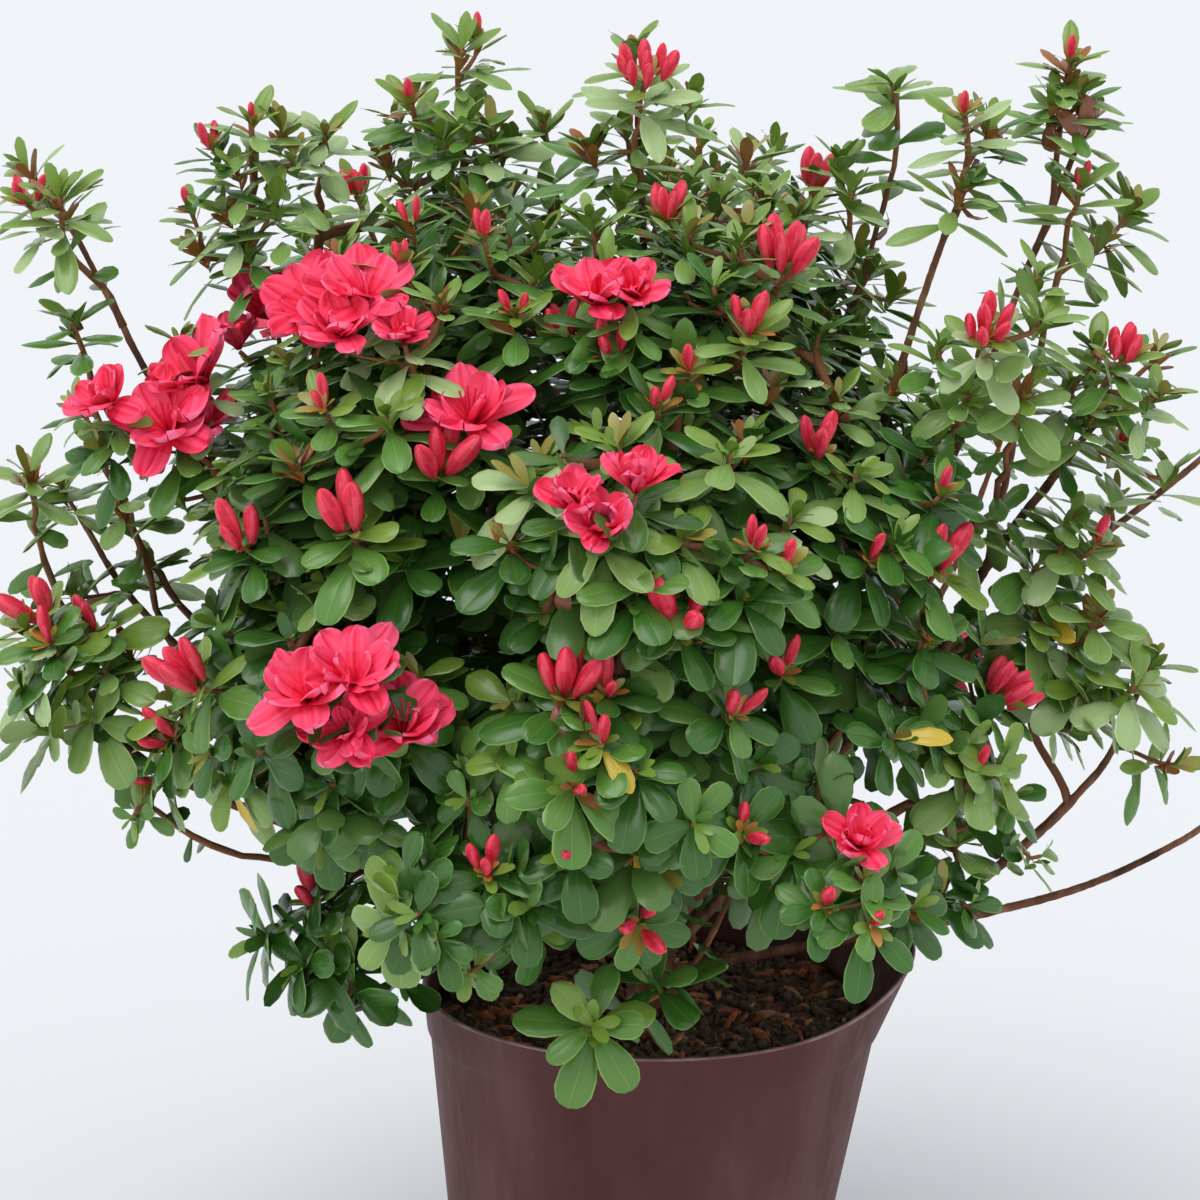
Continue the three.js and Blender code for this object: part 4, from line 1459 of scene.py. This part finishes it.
def dress_buds(shoot, buds):
    """A shoot's buds, spread round an upright one or in a ring."""
    start = rng.uniform(*START_ANGLES)
    opened = rng.uniform(*BUD_OPENINGS)
    size = rng.uniform(*BUD_SPREAD) * (OPENING_SIZE if shoot.opening else mix(*BUD_SIZES, shoot.slender))
    stand = unit(shoot.axis + BUD_RISE * UP)
    lengths = BUD_LENGTHS if shoot.buds >= MANY_BUDS else FEW_BUD_LENGTHS
    for i in range(shoot.buds):
        upright = shoot.buds == 1 or (i == 0 and shoot.buds > MANY_BUDS)
        side = around(stand, start + i * FULL_TURN / shoot.buds)
        way = unit(stand + side * (UPRIGHT_LEAN if upright else opened + rng.uniform(*BUD_LEAN_NOISE)))
        length = size * rng.uniform(*lengths)
        foot = shoot.place + way * BUD_STALK + side * (0 if upright else BUD_RING * shoot.buds)
        add_bud(buds, foot, way, length, length * rng.uniform(*BUD_RATIOS))


# Pot and compost


def shape_pot(points):
    """The soft pot's raised ear on the right of its rim, and its slight lean."""
    bearing = np.arctan2(points[:, 1], points[:, 0])
    rise = np.clip((points[:, 2] - RIM_BAND_FOOT) / (POT_HEIGHT - RIM_BAND_FOOT), 0, 1)
    ear = rise * ((1 + np.cos(bearing)) / 2) ** EAR_SHARPNESS
    points = points.copy()
    points[:, 0] += np.cos(bearing) * ear * EAR_PUSH + POT_LEAN * points[:, 2] / POT_HEIGHT
    points[:, 1] += np.sin(bearing) * ear * EAR_PUSH
    points[:, 2] += ear * EAR_LIFT
    return points


def wall_radius(height):
    return mix(POT_BASE_RADIUS, POT_TOP_RADIUS, height / POT_HEIGHT)


def build_pot():
    outside = [(AXIS_GAP, FOOT_RING[0][1])]
    outside += [(POT_BASE_RADIUS - inset, z) for inset, z in FOOT_RING]
    outside += [(wall_radius(z), z) for z in (FOOT_CURVE, *WALL_HEIGHTS)]
    band = wall_radius(RIM_BAND_FOOT)
    outside += [(band + RIM_BAND_STEP * share, RIM_BAND_FOOT + z) for share, z in BAND_STEPS]
    outside += [(wall_radius(z) + RIM_BAND_STEP, z) for z in BAND_HEIGHTS]
    lip = wall_radius(POT_HEIGHT) + RIM_BAND_STEP
    edge = [(lip + offset, POT_HEIGHT + z) for offset, z in LIP_STEPS]
    inside = [(wall_radius(z) + RIM_BAND_STEP - POT_WALL, z) for z in INNER_BAND_HEIGHTS]
    inside += [(wall_radius(z) - POT_WALL, z) for z in INNER_WALL_HEIGHTS] + [(AXIS_GAP, POT_FLOOR)]
    profile = outside + edge + inside
    row = np.repeat(np.arange(len(profile) - 1), POT_SEGMENTS)
    # The rows over the lip take the pale tones of the painted edge highlight
    lip_highlit = (row >= len(outside)) & (row < len(outside) + LIP_HIGHLIGHT_ROWS)
    pile = Pile()
    quads = grid_quads(len(profile), POT_SEGMENTS, True)
    pile.add(shape_pot(turned(profile, POT_SEGMENTS)), quads, np.where(lip_highlit, 1, 0))
    wall = grained("plastic", WALL_TONES, roughness=(0.48, 0.66), specular=0.20,
                   grain=(22, (1, 1, 0.35)), relief=(260, (1, 1, 0.12), 0.0002))
    lip_highlight = grained("lip_highlight", LIP_HIGHLIGHT_TONES, roughness=(0.5, 0.7), specular=0.3,
                        grain=(60, EVEN), relief=(300, EVEN, 0.0002))
    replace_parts(pile.build("pot_shell", [wall, lip_highlight], "plastic"), "pot")


def soil_height(x, y):
    """The compost's uneven top."""
    along, across, slant = SWELL_WAVES
    swell = SWELL_HEIGHT * (np.sin(x * along + 1) + np.cos(y * across + x * slant))
    return SOIL_TOP + swell + RIPPLE_HEIGHT * np.sin(x * RIPPLE_WAVES[0] + y * RIPPLE_WAVES[1])


def fragment(size, rows):
    """A rough oblong bit of bark or peat, thinner at its ends, round the origin."""
    along = np.linspace(-1, 1, rows)
    corners = np.array([(a, b, c) for a in along for b, c in ((-1, -1), (1, -1), (1, 1), (-1, 1))], float)
    ends = np.abs(corners[:, :1]) == 1
    taper = np.where(ends, rng.uniform(*FRAGMENT_ENDS), 1)
    corners[:, 1:] *= taper * rng.uniform(*FRAGMENT_UNEVENNESS, (len(corners), 1))
    corners[:, 2] += FRAGMENT_BEND * (1 - corners[:, 0] ** 2) * rng.normal(0, FRAGMENT_BEND_NOISE)
    last = rows * 4 - 1
    caps = np.array(((0, 3, 2, 1), (last - 3, last - 2, last - 1, last)))
    return corners * size / 2, np.concatenate((grid_quads(rows, 4, True), caps))


def scatter_fragments(pile, count, lengths, thinness, rows, kinds):
    """Fragments of one kind, lying loose on the compost."""
    shift = POT_LEAN * SOIL_TOP / POT_HEIGHT
    for _ in range(count):
        radius = (SOIL_RADIUS - SOIL_MARGIN) * math.sqrt(rng.random())
        angle = rng.uniform(0, FULL_TURN)
        x, y = radius * math.cos(angle), radius * math.sin(angle)
        length = rng.uniform(*lengths)
        thin = [rng.uniform(*ends) for ends in thinness]
        points, quads = fragment(length * np.array((1.0, *thin)), rows)
        way = unit(np.array((*rng.normal(0, 1, 2), rng.normal(0, FRAGMENT_TILT))))
        first, second = sideways(way)
        lift = length * thin[1] * rng.uniform(*FRAGMENT_LIFTS)
        place = np.array((x + shift, y, soil_height(x, y) + lift))
        points = place + points[:, :1] * way + points[:, 1:2] * first + points[:, 2:] * second
        pile.add(points, quads, rng.choice(kinds))


def build_soil():
    rings = np.concatenate(((AXIS_GAP,), np.linspace(SOIL_FIRST_RING, SOIL_RADIUS, SOIL_RINGS)))
    points = turned([(r, 0.0) for r in rings], SOIL_SEGMENTS)
    points[:, 2] = soil_height(points[:, 0], points[:, 1]) + rng.normal(0, SOIL_NOISE, len(points))
    inset, drop = SOIL_SKIRT
    points = np.concatenate((points, turned([(SOIL_RADIUS - inset, SOIL_TOP - drop)], SOIL_SEGMENTS)))
    points[:, 0] += POT_LEAN * points[:, 2] / POT_HEIGHT
    pile = Pile()
    pile.add(points, grid_quads(len(rings) + 1, SOIL_SEGMENTS, True), 0)
    for kind in FRAGMENTS:
        scatter_fragments(pile, *kind)
    materials = [grained(name, tones, roughness=(0.8, 1.0), specular=0.2,
                         grain=(240, EVEN), relief=(900, EVEN, 0.0008))
                 for name, tones in SOIL_COLOURS.items()]
    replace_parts(pile.build("compost_bed", materials, "compost"), "compost")


# Stage


def build_stage():
    bpy.ops.mesh.primitive_plane_add(size=FLOOR_SIZE, location=(0, 0, -FLOOR_DROP))
    floor = bpy.context.object
    floor.name = "floor"
    floor.data.materials.append(plain("floor", "#dedfe1", roughness=0.95, specular=0.05))
    world = bpy.data.worlds.new("sky")
    bpy.context.scene.world = world
    world.use_nodes = True
    set_inputs(world.node_tree.nodes["Background"], {"Color": SKY_COLOUR, "Strength": SKY_STRENGTH})
    light = bpy.data.lights.new("soft_sky", "SUN")
    light.energy = SUN_ENERGY
    light.angle = SUN_SPREAD
    light.color = SUN_COLOUR
    lamp = bpy.data.objects.new("soft_sky", light)
    lamp.rotation_euler = Vector(SUN_WAY).to_track_quat("Z", "Y").to_euler()
    bpy.context.scene.collection.objects.link(lamp)


def build_camera():
    camera = bpy.data.cameras.new("camera")
    camera.sensor_width = SENSOR_WIDTH
    camera.lens = FOCAL_PIXELS / PHOTO_SIDE * SENSOR_WIDTH
    camera.clip_start, camera.clip_end = CAMERA_CLIPS
    made = bpy.data.objects.new("camera", camera)
    made.location = CAMERA_PLACE
    made.rotation_euler = (math.radians(90 - CAMERA_PITCH), 0, 0)
    bpy.context.scene.collection.objects.link(made)
    bpy.context.scene.camera = made
    bpy.context.scene.view_settings.view_transform = "Standard"


def main():
    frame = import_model()
    masses = sorted(name for name in frame["nodes"] if name.startswith(("mass", "tip")))
    limbs = sorted(name for name in frame["nodes"] if name.startswith("bough"))
    surface = Surface(frame, masses)
    network = lay_limbs(frame, limbs, {name: node_arrays(frame, name)[0].mean(0) for name in masses})
    shoots = all_shoots(surface, network)
    grow_twigs(network, [shoot for shoot in shoots if shoot.line is not None])
    grow_twigs(network, [shoot for shoot in shoots if shoot.line is None])
    thicken(network)
    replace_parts(build_wood(network), "stem", *limbs)
    leaves, petals, buds = Leaves(), Pile(), Pile()
    for shoot in shoots:
        dress_shoot(shoot, leaves)
        dress_flowers(shoot, petals)
        dress_buds(shoot, buds)
    single_leaves(surface, network, leaves)
    leaves.build(masses)
    petals.build("open_flowers", palette("petal", PETAL_COLOURS, roughness=0.55, specular=0.3), "blossom")
    buds.build("flower_buds", palette("bud", BUD_COLOURS, roughness=0.45, specular=0.4), "blossom")
    build_pot()
    build_soil()
    build_stage()
    build_camera()


main()
